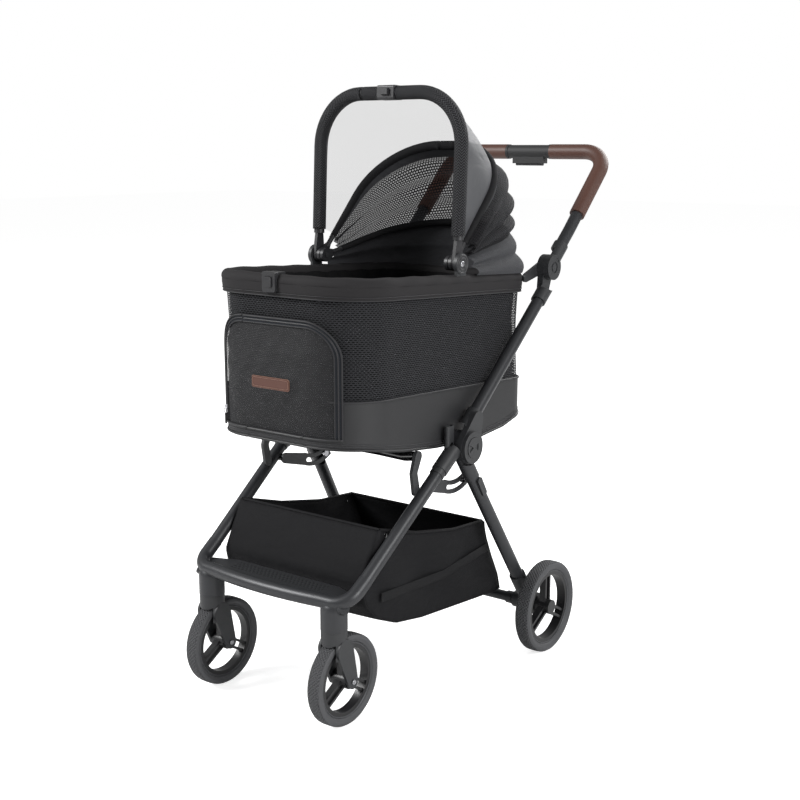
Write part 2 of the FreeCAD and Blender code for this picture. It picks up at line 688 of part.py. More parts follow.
# ---- carrier ----
def plan_face(half, front, rear, front_r, rear_r, level):
    """Plan outline of the carrier: wide front corners, smaller rear ones."""
    points = [(half, rear - rear_r), (half - rear_r, rear),
              (-half + rear_r, rear), (-half, rear - rear_r),
              (-half, front + front_r), (-half + front_r, front),
              (half - front_r, front), (half, front + front_r)]
    centres = {0: (half - rear_r, rear - rear_r, rear_r, 45),
               2: (-half + rear_r, rear - rear_r, rear_r, 135),
               4: (-half + front_r, front + front_r, front_r, 225),
               6: (half - front_r, front + front_r, front_r, 315)}
    edges = []
    for i in range(8):
        a = vec(*points[i], level)
        b = vec(*points[(i + 1) % 8], level)
        if i in centres:
            x, y, radius, turn = centres[i]
            edges.append(Part.Arc(a, vec(*polar(x, y, radius, turn), level), b).toShape())
        else:
            edges.append(Part.LineSegment(a, b).toShape())
    return Part.Wire(edges)


def carrier_plan(inset, z0, z1):
    wire = plan_face(CARRIER_X - inset, CARRIER_FRONT + inset, CARRIER_REAR - inset,
                     FRONT_CORNER_R - inset, REAR_CORNER_R - inset, z0)
    return Part.Face(wire).extrude(vec(0, 0, z1 - z0))


def side_profile(lift):
    """Side view of the bag: the rim line above and the hanging bottom below."""
    top = RIM_COVER_R + CLOTH_GAP - lift
    low = [(-420, 508), (-345, 503), (-250, 486), (-150, 474), (-20, 466), (80, 474), (190, 500)]
    points = [(y, z + lift) for y, z in low]
    points += [(190, rim_z(190) - top), (-420, rim_z(-420) - top)]
    return prism_x(points, -250, 250)


def doorway(margin, y0, y1):
    """Rounded door outline, as a solid from y0 to y1."""
    x = DOOR_X - margin
    low = DOOR_BOTTOM + margin
    high = DOOR_TOP - margin
    radius = DOOR_CORNER_R - margin / 2
    body = block(-x, x, y0, y1, low, high)
    upper = [edge for edge in body.Edges
             if abs(edge.Length - abs(y1 - y0)) < 0.01 and edge.CenterOfMass.z > high - 1]
    return body.makeFillet(radius, upper)


def carrier_walls():
    outer = carrier_plan(0, 400, 900).common(side_profile(0))
    open_top = block(-250, 250, -420, 190, 700, 950)
    inner = carrier_plan(WALL, 380, 950).common(side_profile(WALL).fuse(open_top))
    return cut(outer, [inner, doorway(DOORWAY_MARGIN, -420, -250)])


def carrier_floor():
    plate = carrier_plan(WALL + AIR, FLOOR_Z, FLOOR_Z + FLOOR_THICK)
    return plate


def carrier_mat():
    low = FLOOR_Z + FLOOR_THICK + FIT
    return carrier_plan(WALL + 6, low, low + MAT_THICK)


def front_door():
    """Zip door: a thin skin that follows the curved front."""
    skin = carrier_plan(-DOOR_THICK - CLOTH_GAP, 500, 760).cut(carrier_plan(-CLOTH_GAP, 490, 770))
    return skin.common(doorway(0, -430, -300))


def rim_route():
    inset = RIM_INSET
    wire = plan_face(CARRIER_X - inset, CARRIER_FRONT + inset, CARRIER_REAR - inset,
                     FRONT_CORNER_R - inset, REAR_CORNER_R - inset, RIM_FRONT_Z)
    wire.rotate(vec(0, CARRIER_FRONT + inset, RIM_FRONT_Z), vec(1, 0, 0), -RIM_TILT)
    return wire


def rim_bracket():
    """Ear that joins the rim tube to the handle knuckle."""
    y, z = KNUCKLE
    rim_y = CARRIER_REAR - RIM_EAR_IN
    inner_x = min(CARRIER_X + 1.5, KNUCKLE_INNER_X - 5.5)
    plate = tapered_plate(rim_y, rim_z(rim_y), 9, y - 8, z - 2, 13, inner_x, KNUCKLE_INNER_X - FIT)
    stub = disc(CARRIER_X - 25, CARRIER_X + 4, rim_y, rim_z(rim_y), RIM_STUB_R)
    return fuse([plate, stub])


def latch_housing():
    """Box on the front of the rim that takes the hoop's buckle, with a button well."""
    back = CARRIER_FRONT - 2
    box = block(-LATCH_HALF, LATCH_HALF, LATCH_FRONT, back, 778, 814)
    depth = back - LATCH_FRONT
    box = box.makeFillet(4, [edge for edge in box.Edges if abs(edge.Length - depth) < 0.01])
    strap = block(-LATCH_HALF + 1, LATCH_HALF - 1, LATCH_FRONT + 2, CARRIER_FRONT + 18, 808.5, 812.5)
    reach = LATCH_BUTTON + CLOTH_GAP
    well = block(-reach, reach, LATCH_FRONT - 1, LATCH_FRONT + LATCH_WELL, 787 - CLOTH_GAP, 805 + CLOTH_GAP)
    return fuse([box, strap]).cut(well)


def latch_button():
    face = LATCH_FRONT - LATCH_BUTTON_PROUD
    button = block(-LATCH_BUTTON, LATCH_BUTTON, face, face + LATCH_BUTTON_LENGTH, 787, 805)
    sides = [edge for edge in button.Edges if abs(edge.Length - LATCH_BUTTON_LENGTH) < 0.01]
    return button.makeFillet(2.5, sides)


# ---- canopy ----
def bow_point(x, reach, angle):
    y, z = polar(PIVOT_Y, PIVOT_Z, reach, angle)
    return vec(x, y, z)


def bow(half, reach, angle, radius, corner, start):
    """Arch that turns on the canopy pivots, with a lug at each foot."""
    points = [bow_point(half, start, angle), bow_point(half, reach, angle),
              bow_point(-half, reach, angle), bow_point(-half, start, angle)]
    arch = sweep(route(points, [corner, corner]), radius)
    y, z = polar(PIVOT_Y, PIVOT_Z, start + 6, angle)
    lug_x = half - LUG_THICK / 2
    lug = tapered_plate(PIVOT_Y, PIVOT_Z, 14, y, z, min(radius, 8), lug_x, lug_x + LUG_THICK)
    hole = disc(-200, 200, PIVOT_Y, PIVOT_Z, PIVOT_PIN_R + RUN)
    return fuse([arch, lug, flip(lug)]).cut(hole)


def canopy_pivot():
    """Outer disc, pin and foot of one canopy pivot, standing on the rim."""
    inner_x = CARRIER_X - 3.7
    cap = disc(inner_x, CARRIER_X + 4, PIVOT_Y, PIVOT_Z, PIVOT_R)
    pin = disc(CARRIER_X - 31, CARRIER_X, PIVOT_Y, PIVOT_Z, PIVOT_PIN_R)
    foot = block(inner_x, CARRIER_X + 2, PIVOT_Y - 15, PIVOT_Y + 15, PIVOT_Z - 30, PIVOT_Z - 8)
    body = fuse([cap, pin, foot])
    rim = sweep(rim_route(), RIM_COVER_R + FIT)
    return body.cut(rim)


def hood_panel(half, reach, angle0, angle1):
    """Bent sheet between two bows, as a thin shell turned about the pivots."""
    shape = []
    for depth in (0, HOOD_THICK):
        x = half - depth
        top = reach - depth
        corner = HOOP_CORNER - 6 - depth
        points = [vec(x, PIVOT_Y, PIVOT_Z + HOOD_START_R), vec(x, PIVOT_Y, PIVOT_Z + top),
                  vec(-x, PIVOT_Y, PIVOT_Z + top), vec(-x, PIVOT_Y, PIVOT_Z + HOOD_START_R)]
        path = route(points, [corner, corner])
        close = Part.LineSegment(points[-1], points[0]).toShape()
        shape.append(Part.Face(Part.Wire(path.Edges + [close])))
    face = shape[0].cut(shape[1]).Faces[0]
    face.rotate(vec(0, PIVOT_Y, PIVOT_Z), vec(1, 0, 0), angle0 - 90)
    return face.revolve(vec(0, PIVOT_Y, PIVOT_Z), vec(1, 0, 0), angle1 - angle0)


def hoop_buckle():
    """Buckle on the crown of the hoop, which the rim latch holds when the hood is shut."""
    shell = block(-20, 20, -15, 15, -13, 14)
    shell = shell.makeFillet(4, [edge for edge in shell.Edges if abs(edge.Length - 40) < 0.01])
    tongue = block(-9, 9, -21, -14, -4, 8)
    body = shell.fuse(tongue)
    body.rotate(vec(0, 0, 0), vec(1, 0, 0), HOOP_ANGLE - 90)
    y, z = polar(PIVOT_Y, PIVOT_Z, HOOP_REACH, HOOP_ANGLE)
    body.translate(vec(0, y, z))
    return body.cut(disc(-30, 30, y, z, HOOP_R + FIT))


# ---- storage basket ----
def basket_profile(inset):
    """Side view of the basket, with a sagging bottom."""
    front_top, front_low = BASKET_FRONT_TOP, BASKET_FRONT_LOW
    rear_low, rear_top = BASKET_REAR_LOW, BASKET_REAR_TOP
    past = 0.5 if inset else 0.0       # the hollow runs on past the open top along both slopes
    front_run = (front_top[0] - front_low[0], front_top[1] - front_low[1])
    rear_run = (rear_top[0] - rear_low[0], rear_top[1] - rear_low[1])
    side_inset = inset * 1.25
    return [(front_top[0] + front_run[0] * past + side_inset, front_top[1] + front_run[1] * past),
            (front_low[0] + side_inset, front_low[1]), (-330 + inset, 186 + inset),
            (-230, BASKET_SAG_Z + inset), (-90, BASKET_SAG_Z - 12 + inset),
            (rear_low[0] - side_inset, rear_low[1] + inset),
            (rear_top[0] + rear_run[0] * past - side_inset, rear_top[1] + rear_run[1] * past)]


def storage_basket():
    """Open basket with a tab to each leg near its four top corners."""
    outer = prism_x(basket_profile(0), -BASKET_X, BASKET_X)
    inside_x = BASKET_X - BASKET_WALL
    inner = prism_x(basket_profile(BASKET_WALL), -inside_x, inside_x)
    front_tab = disc(inside_x, FRAME_X - 12, BASKET_FRONT_TOP[0] - 4, BASKET_FRONT_TOP[1] - 12, 6)
    rear_tab = disc(inside_x, FRAME_X + 6, BASKET_REAR_TOP[0] - 7, BASKET_REAR_TOP[1] - 10, 6)
    rear_tube = rod(rear_point(100), rear_point(300), REAR_TUBE_R + CLOTH_GAP)
    tabs = [front_tab.cut(leg_tube(CLOTH_GAP)), rear_tab.cut(rear_tube)]
    tabs += [flip(tab) for tab in tabs]
    return fuse([outer.cut(inner)] + tabs)


# ---- pins and screws ----
def hinge_pins():
    hub = disc(187, 217, HUB_Y, HUB_Z, PIN_R)
    knuckle = disc(187, 209, *KNUCKLE, KNUCKLE_PIN_R)
    return Part.makeCompound([hub, flip(hub), knuckle, flip(knuckle)])


def build():
    os.makedirs("parts", exist_ok=True)
    housing = hub_housing()
    one_per_side = {
        "front_leg": leg_tube(), "corner_elbow": corner_elbow(), "hub_housing": housing,
        "lower_handle": handle_tube(), "knuckle_lower": knuckle_lower(), "rear_leg": rear_leg(),
        "wheel_bracket": wheel_bracket(), "leg_button": leg_button(), "caster_fork": caster_fork(),
        "front_tyre": tyre(CASTER_X, FRONT_AXLE[0], FRONT_WHEEL_R, FRONT_TYRE_WIDTH, FRONT_TYRE_DEPTH),
        "front_wheel": wheel(CASTER_X, FRONT_AXLE[0], FRONT_WHEEL_R, FRONT_TYRE_WIDTH, FRONT_TYRE_DEPTH,
                             FRONT_TYRE_WIDTH + 3, FRONT_AXLE_R + RUN, 0),
        "rear_tyre": tyre(REAR_WHEEL_X, REAR_WHEEL_Y, REAR_WHEEL_R, REAR_TYRE_WIDTH, REAR_TYRE_DEPTH),
        "rear_wheel": wheel(REAR_WHEEL_X, REAR_WHEEL_Y, REAR_WHEEL_R, REAR_TYRE_WIDTH, REAR_TYRE_DEPTH,
                            REAR_TYRE_WIDTH, REAR_AXLE_R + RUN, 1),
    }
    for name, shape in one_per_side.items():
        for side_name, side in SIDES:
            save(name + "_" + side_name, on_side(shape, side))

    pins = rear_pins()
    rim = rim_route()
    bracket = rim_bracket().cut(sweep(rim, RIM_TUBE_R + FIT))
    cover = hollow_sweep(rim, RIM_COVER_R, RIM_TUBE_R + FIT)
    latch = latch_housing().cut(sweep(rim, RIM_COVER_R + FIT))
    collar = leg_collar(housing)
    hood_x = HOOP_X - 1.0
    pair_nodes = {
        "hub_caps": hub_cap(), "leg_collars": collar, "rim_brackets": bracket,
        "base_arms": base_arm(), "base_posts": base_post(), "slot_plates": slot_plate(),
        "canopy_pivots": canopy_pivot(), "handle_grips": grip(), "knuckle_upper": knuckle_upper(),
        "rear_pins": Part.makeCompound(pins),
    }
    for name, shape in pair_nodes.items():
        save(name, both(shape))

    stub_y = CARRIER_REAR - RIM_EAR_IN
    stub_hole = disc(CARRIER_X - 30, CARRIER_X + 10, stub_y, rim_z(stub_y), RIM_STUB_R + FIT)
    single_nodes = {
        "front_crossbar": cut(crossbar(), [elbow_outside(), flip(elbow_outside())]),
        "footrest_plate": footrest(),
        "rear_axle_tube": rear_axle_tube(),
        "brake_pedal": brake_pedal(),
        "upper_handle": hollow_sweep(upper_route(), TUBE_R, TUBE_R - TUBE_WALL),
        "handle_sleeve": handle_sleeve(),
        "handle_trigger": handle_trigger(),
        "rim_frame": sweep(rim, RIM_TUBE_R),
        "rim_cover": cut(cover, [stub_hole, flip(stub_hole)]),
        "carrier_walls": carrier_walls(),
        "carrier_floor": carrier_floor(),
        "carrier_mat": carrier_mat(),
        "front_door": front_door(),
        "latch_housing": latch,
        "latch_button": latch_button(),
        "base_loop": base_loop(),
        "canopy_hoop": bow(HOOP_X, HOOP_REACH, HOOP_ANGLE, HOOP_R, HOOP_CORNER, 44),
        "hoop_buckle": hoop_buckle(),
        "canopy_mid_bow": bow(MID_BOW_X, MID_BOW_REACH, MID_BOW_ANGLE, BOW_R, MID_BOW_CORNER, 20),
        "canopy_rear_bow": bow(REAR_BOW_X, REAR_BOW_REACH, REAR_BOW_ANGLE, BOW_R, REAR_BOW_CORNER, 20),
        "canopy_window": hood_panel(hood_x, MID_BOW_REACH + BOW_R, MID_BOW_ANGLE + HOOD_MARGIN,
                                    HOOP_ANGLE - HOOP_MARGIN),
        "canopy_rear": hood_panel(hood_x, MID_BOW_REACH + BOW_R, REAR_BOW_ANGLE + HOOD_MARGIN,
                                  MID_BOW_ANGLE - HOOD_MARGIN),
        "storage_basket": storage_basket(),
        "hinge_pins": hinge_pins(),
    }
    for name, shape in single_nodes.items():
        save(name, shape)


build()
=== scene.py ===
import math
import bpy
import numpy as np
from mathutils import Matrix, Vector


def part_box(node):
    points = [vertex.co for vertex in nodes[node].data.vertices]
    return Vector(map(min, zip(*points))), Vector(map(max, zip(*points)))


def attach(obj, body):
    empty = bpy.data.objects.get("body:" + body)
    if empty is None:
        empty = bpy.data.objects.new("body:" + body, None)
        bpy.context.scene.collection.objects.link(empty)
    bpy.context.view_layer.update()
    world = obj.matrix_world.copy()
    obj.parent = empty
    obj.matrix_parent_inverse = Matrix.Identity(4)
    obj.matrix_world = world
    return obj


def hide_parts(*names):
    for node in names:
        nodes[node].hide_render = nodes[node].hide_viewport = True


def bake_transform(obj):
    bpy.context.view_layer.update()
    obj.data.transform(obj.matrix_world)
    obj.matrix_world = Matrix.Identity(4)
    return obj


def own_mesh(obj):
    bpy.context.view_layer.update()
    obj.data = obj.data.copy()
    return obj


# Pet stroller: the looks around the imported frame. Metres, +Z up, the front faces -Y.

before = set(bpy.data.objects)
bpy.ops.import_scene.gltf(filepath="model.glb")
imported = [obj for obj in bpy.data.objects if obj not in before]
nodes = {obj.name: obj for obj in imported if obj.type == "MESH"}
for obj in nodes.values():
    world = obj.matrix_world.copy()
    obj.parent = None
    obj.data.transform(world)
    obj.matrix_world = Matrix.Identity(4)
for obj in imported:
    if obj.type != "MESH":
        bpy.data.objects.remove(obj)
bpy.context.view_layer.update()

# ---- sizes shared with the frame ----
HALF = 0.180                 # carrier walls, outer face
FRONT = -0.396
REAR = 0.168
FRONT_CORNER = 0.105
REAR_CORNER = 0.042
RIM_Z = 0.797                # middle of the rim at the front
RIM_TILT = math.tan(math.radians(3.0))
RIM_R = 0.0125               # padded rim, over its tube
PIVOT = Vector((0, -0.072, 0.813))
HOOP = {"half": 0.172, "reach": 0.318, "corner": 0.100, "angle": 87.2}
MID_BOW = {"half": 0.1631, "reach": 0.304, "corner": 0.140, "angle": 46.0}
REAR_BOW = {"half": 0.1542, "reach": 0.296, "corner": 0.130, "angle": 11.0}
HOOP_R = 0.0105
WHEELS = {"front": {"r": 0.086, "width": 0.030, "depth": 0.016, "x": 0.153, "y": -0.3955},
          "rear": {"r": 0.095, "width": 0.033, "depth": 0.018, "x": 0.266, "y": 0.123}}
BOTTOM = [(-0.42, 0.508), (-0.345, 0.503), (-0.25, 0.486), (-0.15, 0.474), (-0.02, 0.466),
          (0.08, 0.474), (0.19, 0.500)]
BAND_TOP = [(-0.42, 0.592), (-0.25, 0.585), (-0.05, 0.575), (0.19, 0.562)]
DOOR = {"half": 0.142, "low": 0.522, "high": 0.731, "corner": 0.066}
LATCH_HIDES = 0.0150         # half the width that the latch housing covers
LATCH_BACK = -0.4006         # Y of the cloth behind the latch
DOOR_TAPE = 0.010            # width of the zip tape round the door
DOOR_BULGE = 0.010           # how far the door's cloth stands out in the middle
LABEL = {"half": 0.046, "height": 0.022, "z": 0.6145, "corner": 0.004}
SIDES = (("left", 1.0), ("right", -1.0))
SKY_LIGHT = 0.32             # brightness of the studio's white surroundings, as the stroller sees them
SHEER_OUTSIDE = 0.82         # how dense the hood's fine mesh looks from outside
SHEER_INSIDE = 0.26
FLOOR_GLOW = 0.73            # keeps the floor near white, under soft shadows
THREAD_RISE = 0.0004         # height of the threads in a woven cloth
ROUND = 220                  # points round the carrier
LINING_GAP = 0.006           # from the mesh wall in to its lining
TAPE_LIFT = 0.0036           # the door's zip tape, out from the carrier's face
HOOD_POINTS = 120            # points over an arch of the hood
BINDING_FOOT = 0.050         # where the bows' bindings start, from the pivots
SLEEVE_FOOT = 0.052          # where the hoop's sleeve and the hood's window start
BASKET_HALF = 0.171
BASKET_LIFT = 0.004          # the cloth over the basket's outline
BASKET_TOP = [(-0.312, 0.345), (-0.20, 0.312), (-0.08, 0.288), (0.026, 0.280)]
BASKET_PROFILE = [(-0.312, 0.345), (-0.340, 0.300), (-0.362, 0.256), (-0.352, 0.212), (-0.318, 0.176),
                  (-0.262, 0.152), (-0.180, 0.138), (-0.090, 0.130), (0.000, 0.122), (0.070, 0.116),
                  (0.098, 0.116), (0.088, 0.150), (0.062, 0.200), (0.026, 0.280)]
HEM_R = 0.0028
HEM_LIFT = 0.0045
CAMERA_PLACE = (1.513, -2.0203, 1.030)
CAMERA_TURN = (78.529, 0, 37.155)
CAMERA_LENS = 56.27


# ---- meshes ----
def mesh_object(name, points, faces, uvs=None, smooth=True):
    data = bpy.data.meshes.new(name)
    data.from_pydata([tuple(p) for p in points], [], faces)
    data.update()
    if uvs is not None:
        layer = data.uv_layers.new(name="UVMap")
        for loop in data.loops:
            layer.data[loop.index].uv = uvs[loop.vertex_index]
    if smooth:
        data.polygons.foreach_set("use_smooth", [True] * len(data.polygons))
    obj = bpy.data.objects.new(name, data)
    bpy.context.scene.collection.objects.link(obj)
    return obj


def dress(obj, material, body=None):
    obj.data.materials.clear()
    obj.data.materials.append(material)
    if body:
        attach(obj, body)
    return obj


def steps_along(rows):
    """Mean distance from row to row and from column to column, as running sums."""
    grid = np.array(rows)
    across = np.linalg.norm(np.diff(grid, axis=0), axis=2).mean(axis=1)
    along = np.linalg.norm(np.diff(grid, axis=1), axis=2).mean(axis=0)
    return np.concatenate([[0], np.cumsum(along)]), np.concatenate([[0], np.cumsum(across)])


def sheet_mesh(name, rows, ring=False):
    """Surface through rows of points, with UVs in metres. A ring joins each row's end to its start."""
    rows = [[Vector(p) for p in row] for row in rows]
    if ring:
        rows = [row + row[:1] for row in rows]
    width = len(rows[0])
    along, across = steps_along(rows)
    points = [p for row in rows for p in row]
    uvs = [(along[i % width], across[i // width]) for i in range(len(points))]
    faces = []
    for j in range(len(rows) - 1):
        for i in range(width - 1):
            a = j * width + i
            faces.append((a, a + 1, a + width + 1, a + width))
    return mesh_object(name, points, faces, uvs)


def resample(points, count, closed=False):
    line = np.array([tuple(p) for p in points], float)
    if closed:
        line = np.vstack([line, line[:1]])
    along = np.concatenate([[0], np.cumsum(np.linalg.norm(np.diff(line, axis=0), axis=1))])
    at = np.linspace(0, along[-1], count + (1 if closed else 0))
    if closed:
        at = at[:-1]
    return [Vector([float(np.interp(a, along, line[:, k])) for k in range(line.shape[1])]) for a in at]


def tube_mesh(name, path, radius, sides=16, closed=False, flatten=1.0, up=Vector((1, 0, 0))):
    """Round or flattened tube along a path. radius may be a list, one per point."""
    count = len(path)
    radii = radius if hasattr(radius, "__len__") else [radius] * count
    rows = []
    for i, p in enumerate(path):
        before = path[i - 1] if (i > 0 or closed) else path[i]
        after = path[(i + 1) % count] if (i < count - 1 or closed) else path[i]
        heading = (after - before).normalized()
        side = heading.cross(up)
        if side.length < 1e-4:
            side = heading.cross(Vector((0, 0, 1)))
        side.normalize()
        over = side.cross(heading).normalized()
        row = []
        for k in range(sides):
            angle = 2 * math.pi * k / sides
            row.append(p + side * radii[i] * flatten * math.cos(angle) + over * radii[i] * math.sin(angle))
        rows.append(row)
    if closed:
        rows.append(rows[0])
    obj = sheet_mesh(name, rows, ring=True)
    if not closed:
        close_ends(obj, sides + 1, count)
    return obj


def close_ends(obj, width, count):
    """Flat caps on a tube made of count rows of width points."""
    data = obj.data
    points = [v.co.copy() for v in data.vertices]
    faces = [tuple(p.vertices) for p in data.polygons]
    uvs = [(0.0, 0.0)] * len(points)
    for loop in data.loops:
        uvs[loop.vertex_index] = tuple(data.uv_layers[0].data[loop.index].uv)
    for first in (0, (count - 1) * width):
        ring = list(range(first, first + width - 1))
        faces.append(tuple(ring))
    fresh = mesh_object(obj.name + "_capped", points, faces, uvs)
    old = obj.data
    obj.data = fresh.data
    bpy.data.objects.remove(fresh)
    bpy.data.meshes.remove(old)


def turned(name, centre, profile, segments):
    """Surface turned about the X axis through the centre, from (offset along it, radius) points."""
    rows = []
    for k in range(segments + 1):
        angle = 2 * math.pi * k / segments
        row = []
        for offset, radius in profile:
            row.append((centre[0] + offset,
                        centre[1] + radius * math.cos(angle),
                        centre[2] + radius * math.sin(angle)))
        rows.append(row)
    return sheet_mesh(name, rows)


def block_mesh(name, size, place, bevel):
    sx, sy, sz = (s / 2 for s in size)
    corners = [(x, y, z) for x in (-sx, sx) for y in (-sy, sy) for z in (-sz, sz)]
    faces = [(0, 1, 3, 2), (4, 6, 7, 5), (0, 4, 5, 1), (2, 3, 7, 6), (0, 2, 6, 4), (1, 5, 7, 3)]
    obj = mesh_object(name, corners, faces, [(0.0, 0.0)] * 8, smooth=False)
    obj.data.transform(Matrix.Translation(place))
    rounding = obj.modifiers.new("round", "BEVEL")
    rounding.width = bevel
    rounding.segments = 2
    return obj


def thicken(obj, thickness):
    solid = obj.modifiers.new("thickness", "SOLIDIFY")
    solid.thickness = thickness
    solid.offset = 0.0


def between(table, y):
    ys = [a for a, b in table]
    return float(np.interp(y, ys, [b for a, b in table]))


# ---- materials ----
def shader(name, color, roughness, metallic=0.0, **inputs):
    material = bpy.data.materials.new(name)
    material.use_nodes = True
    node = material.node_tree.nodes["Principled BSDF"]
    node.inputs["Base Color"].default_value = (*color, 1)
    node.inputs["Roughness"].default_value = roughness
    node.inputs["Metallic"].default_value = metallic
    for key, value in inputs.items():
        node.inputs[key.replace("_", " ")].default_value = value
    return material


def add(material, kind, **values):
    node = material.node_tree.nodes.new(kind)
    for key, value in values.items():
        if key in node.inputs:
            node.inputs[key].default_value = value
        else:
            setattr(node, key, value)
    return node


def link(material, start, end):
    material.node_tree.links.new(start, end)


def math_node(material, operation, a, b=None):
    node = add(material, "ShaderNodeMath", operation=operation)
    for i, value in enumerate((a, b)):
        if value is None:
            continue
        if isinstance(value, (int, float)):
            node.inputs[i].default_value = value
        else:
            link(material, value, node.inputs[i])
    return node.outputs[0]


def bump(material, height, strength=0.4, distance=0.001):
    node = add(material, "ShaderNodeBump")
    node.inputs["Strength"].default_value = strength
    node.inputs["Distance"].default_value = distance
    link(material, height, node.inputs["Height"])
    principled = material.node_tree.nodes["Principled BSDF"]
    if principled.inputs["Normal"].is_linked:
        link(material, principled.inputs["Normal"].links[0].from_socket, node.inputs["Normal"])
    link(material, node.outputs["Normal"], principled.inputs["Normal"])
    return material


def grain(material, scale, strength, distance=0.0004):
    """Fine surface grain from noise in the piece's own metres."""
    place = add(material, "ShaderNodeTexCoord")
    noise = add(material, "ShaderNodeTexNoise")
    noise.inputs["Scale"].default_value = scale
    noise.inputs["Detail"].default_value = 2.0
    link(material, place.outputs["Object"], noise.inputs["Vector"])
    return bump(material, noise.outputs["Fac"], strength, distance)


def uv_parts(material):
    place = add(material, "ShaderNodeUVMap")
    split = add(material, "ShaderNodeSeparateXYZ")
    link(material, place.outputs["UV"], split.inputs["Vector"])
    return split.outputs["X"], split.outputs["Y"]


def cell(material, u, v, pitch_u, pitch_v):
    """Centred position inside the cell of a staggered grid."""
    row = math_node(material, "DIVIDE", v, pitch_v)
    row_number = math_node(material, "FLOOR", row)
    shift = math_node(material, "MULTIPLY", row_number, 0.5)
    column = math_node(material, "ADD", math_node(material, "DIVIDE", u, pitch_u), shift)
    in_u = math_node(material, "SUBTRACT", math_node(material, "FRACT", column), 0.5)
    in_v = math_node(material, "SUBTRACT", math_node(material, "FRACT", row), 0.5)
    return in_u, in_v


def oval(material, in_u, in_v, half_u, half_v):
    """Distance from a cell's middle, 1 at the edge of its hole."""
    squares = []
    for place, half in ((in_u, half_u), (in_v, half_v)):
        share = math_node(material, "DIVIDE", math_node(material, "ABSOLUTE", place), half)
        squares.append(math_node(material, "POWER", share, 2.0))
    return math_node(material, "ADD", squares[0], squares[1])


def open_holes(material, pitch_u, pitch_v, half_u, half_v, clear):
    """Knitted mesh: staggered oval holes that let light through."""
    u, v = uv_parts(material)
    in_u, in_v = cell(material, u, v, pitch_u, pitch_v)
    far = oval(material, in_u, in_v, half_u, half_v)
    thread = math_node(material, "GREATER_THAN", far, 1.0)
    bump(material, math_node(material, "MINIMUM", far, 2.5), 0.5, 0.0006)
    principled = material.node_tree.nodes["Principled BSDF"]
    alpha = math_node(material, "MAXIMUM", thread, 1.0 - clear)
    link(material, alpha, principled.inputs["Alpha"])
    return material


def weave(material, pitch, strength=0.5):
    """Woven cloth with threads on the diagonal."""
    u, v = uv_parts(material)
    first = math_node(material, "ADD", u, v)
    second = math_node(material, "SUBTRACT", u, v)
    turns = 2 * math.pi / pitch
    a = math_node(material, "SINE", math_node(material, "MULTIPLY", first, turns))
    b = math_node(material, "SINE", math_node(material, "MULTIPLY", second, turns))
    return bump(material, math_node(material, "MULTIPLY", a, b), strength, THREAD_RISE)


def wrinkle(material, scale, strength, distance):
    """Soft creases, longer one way than the other."""
    place = add(material, "ShaderNodeTexCoord")
    stretch = add(material, "ShaderNodeMapping")
    stretch.inputs["Scale"].default_value = (1.0, 1.0, 2.2)
    noise = add(material, "ShaderNodeTexNoise")
    noise.inputs["Scale"].default_value = scale
    noise.inputs["Detail"].default_value = 3.0
    noise.inputs["Distortion"].default_value = 0.6
    link(material, place.outputs["Object"], stretch.inputs["Vector"])
    link(material, stretch.outputs["Vector"], noise.inputs["Vector"])
    return bump(material, noise.outputs["Fac"], strength, distance)


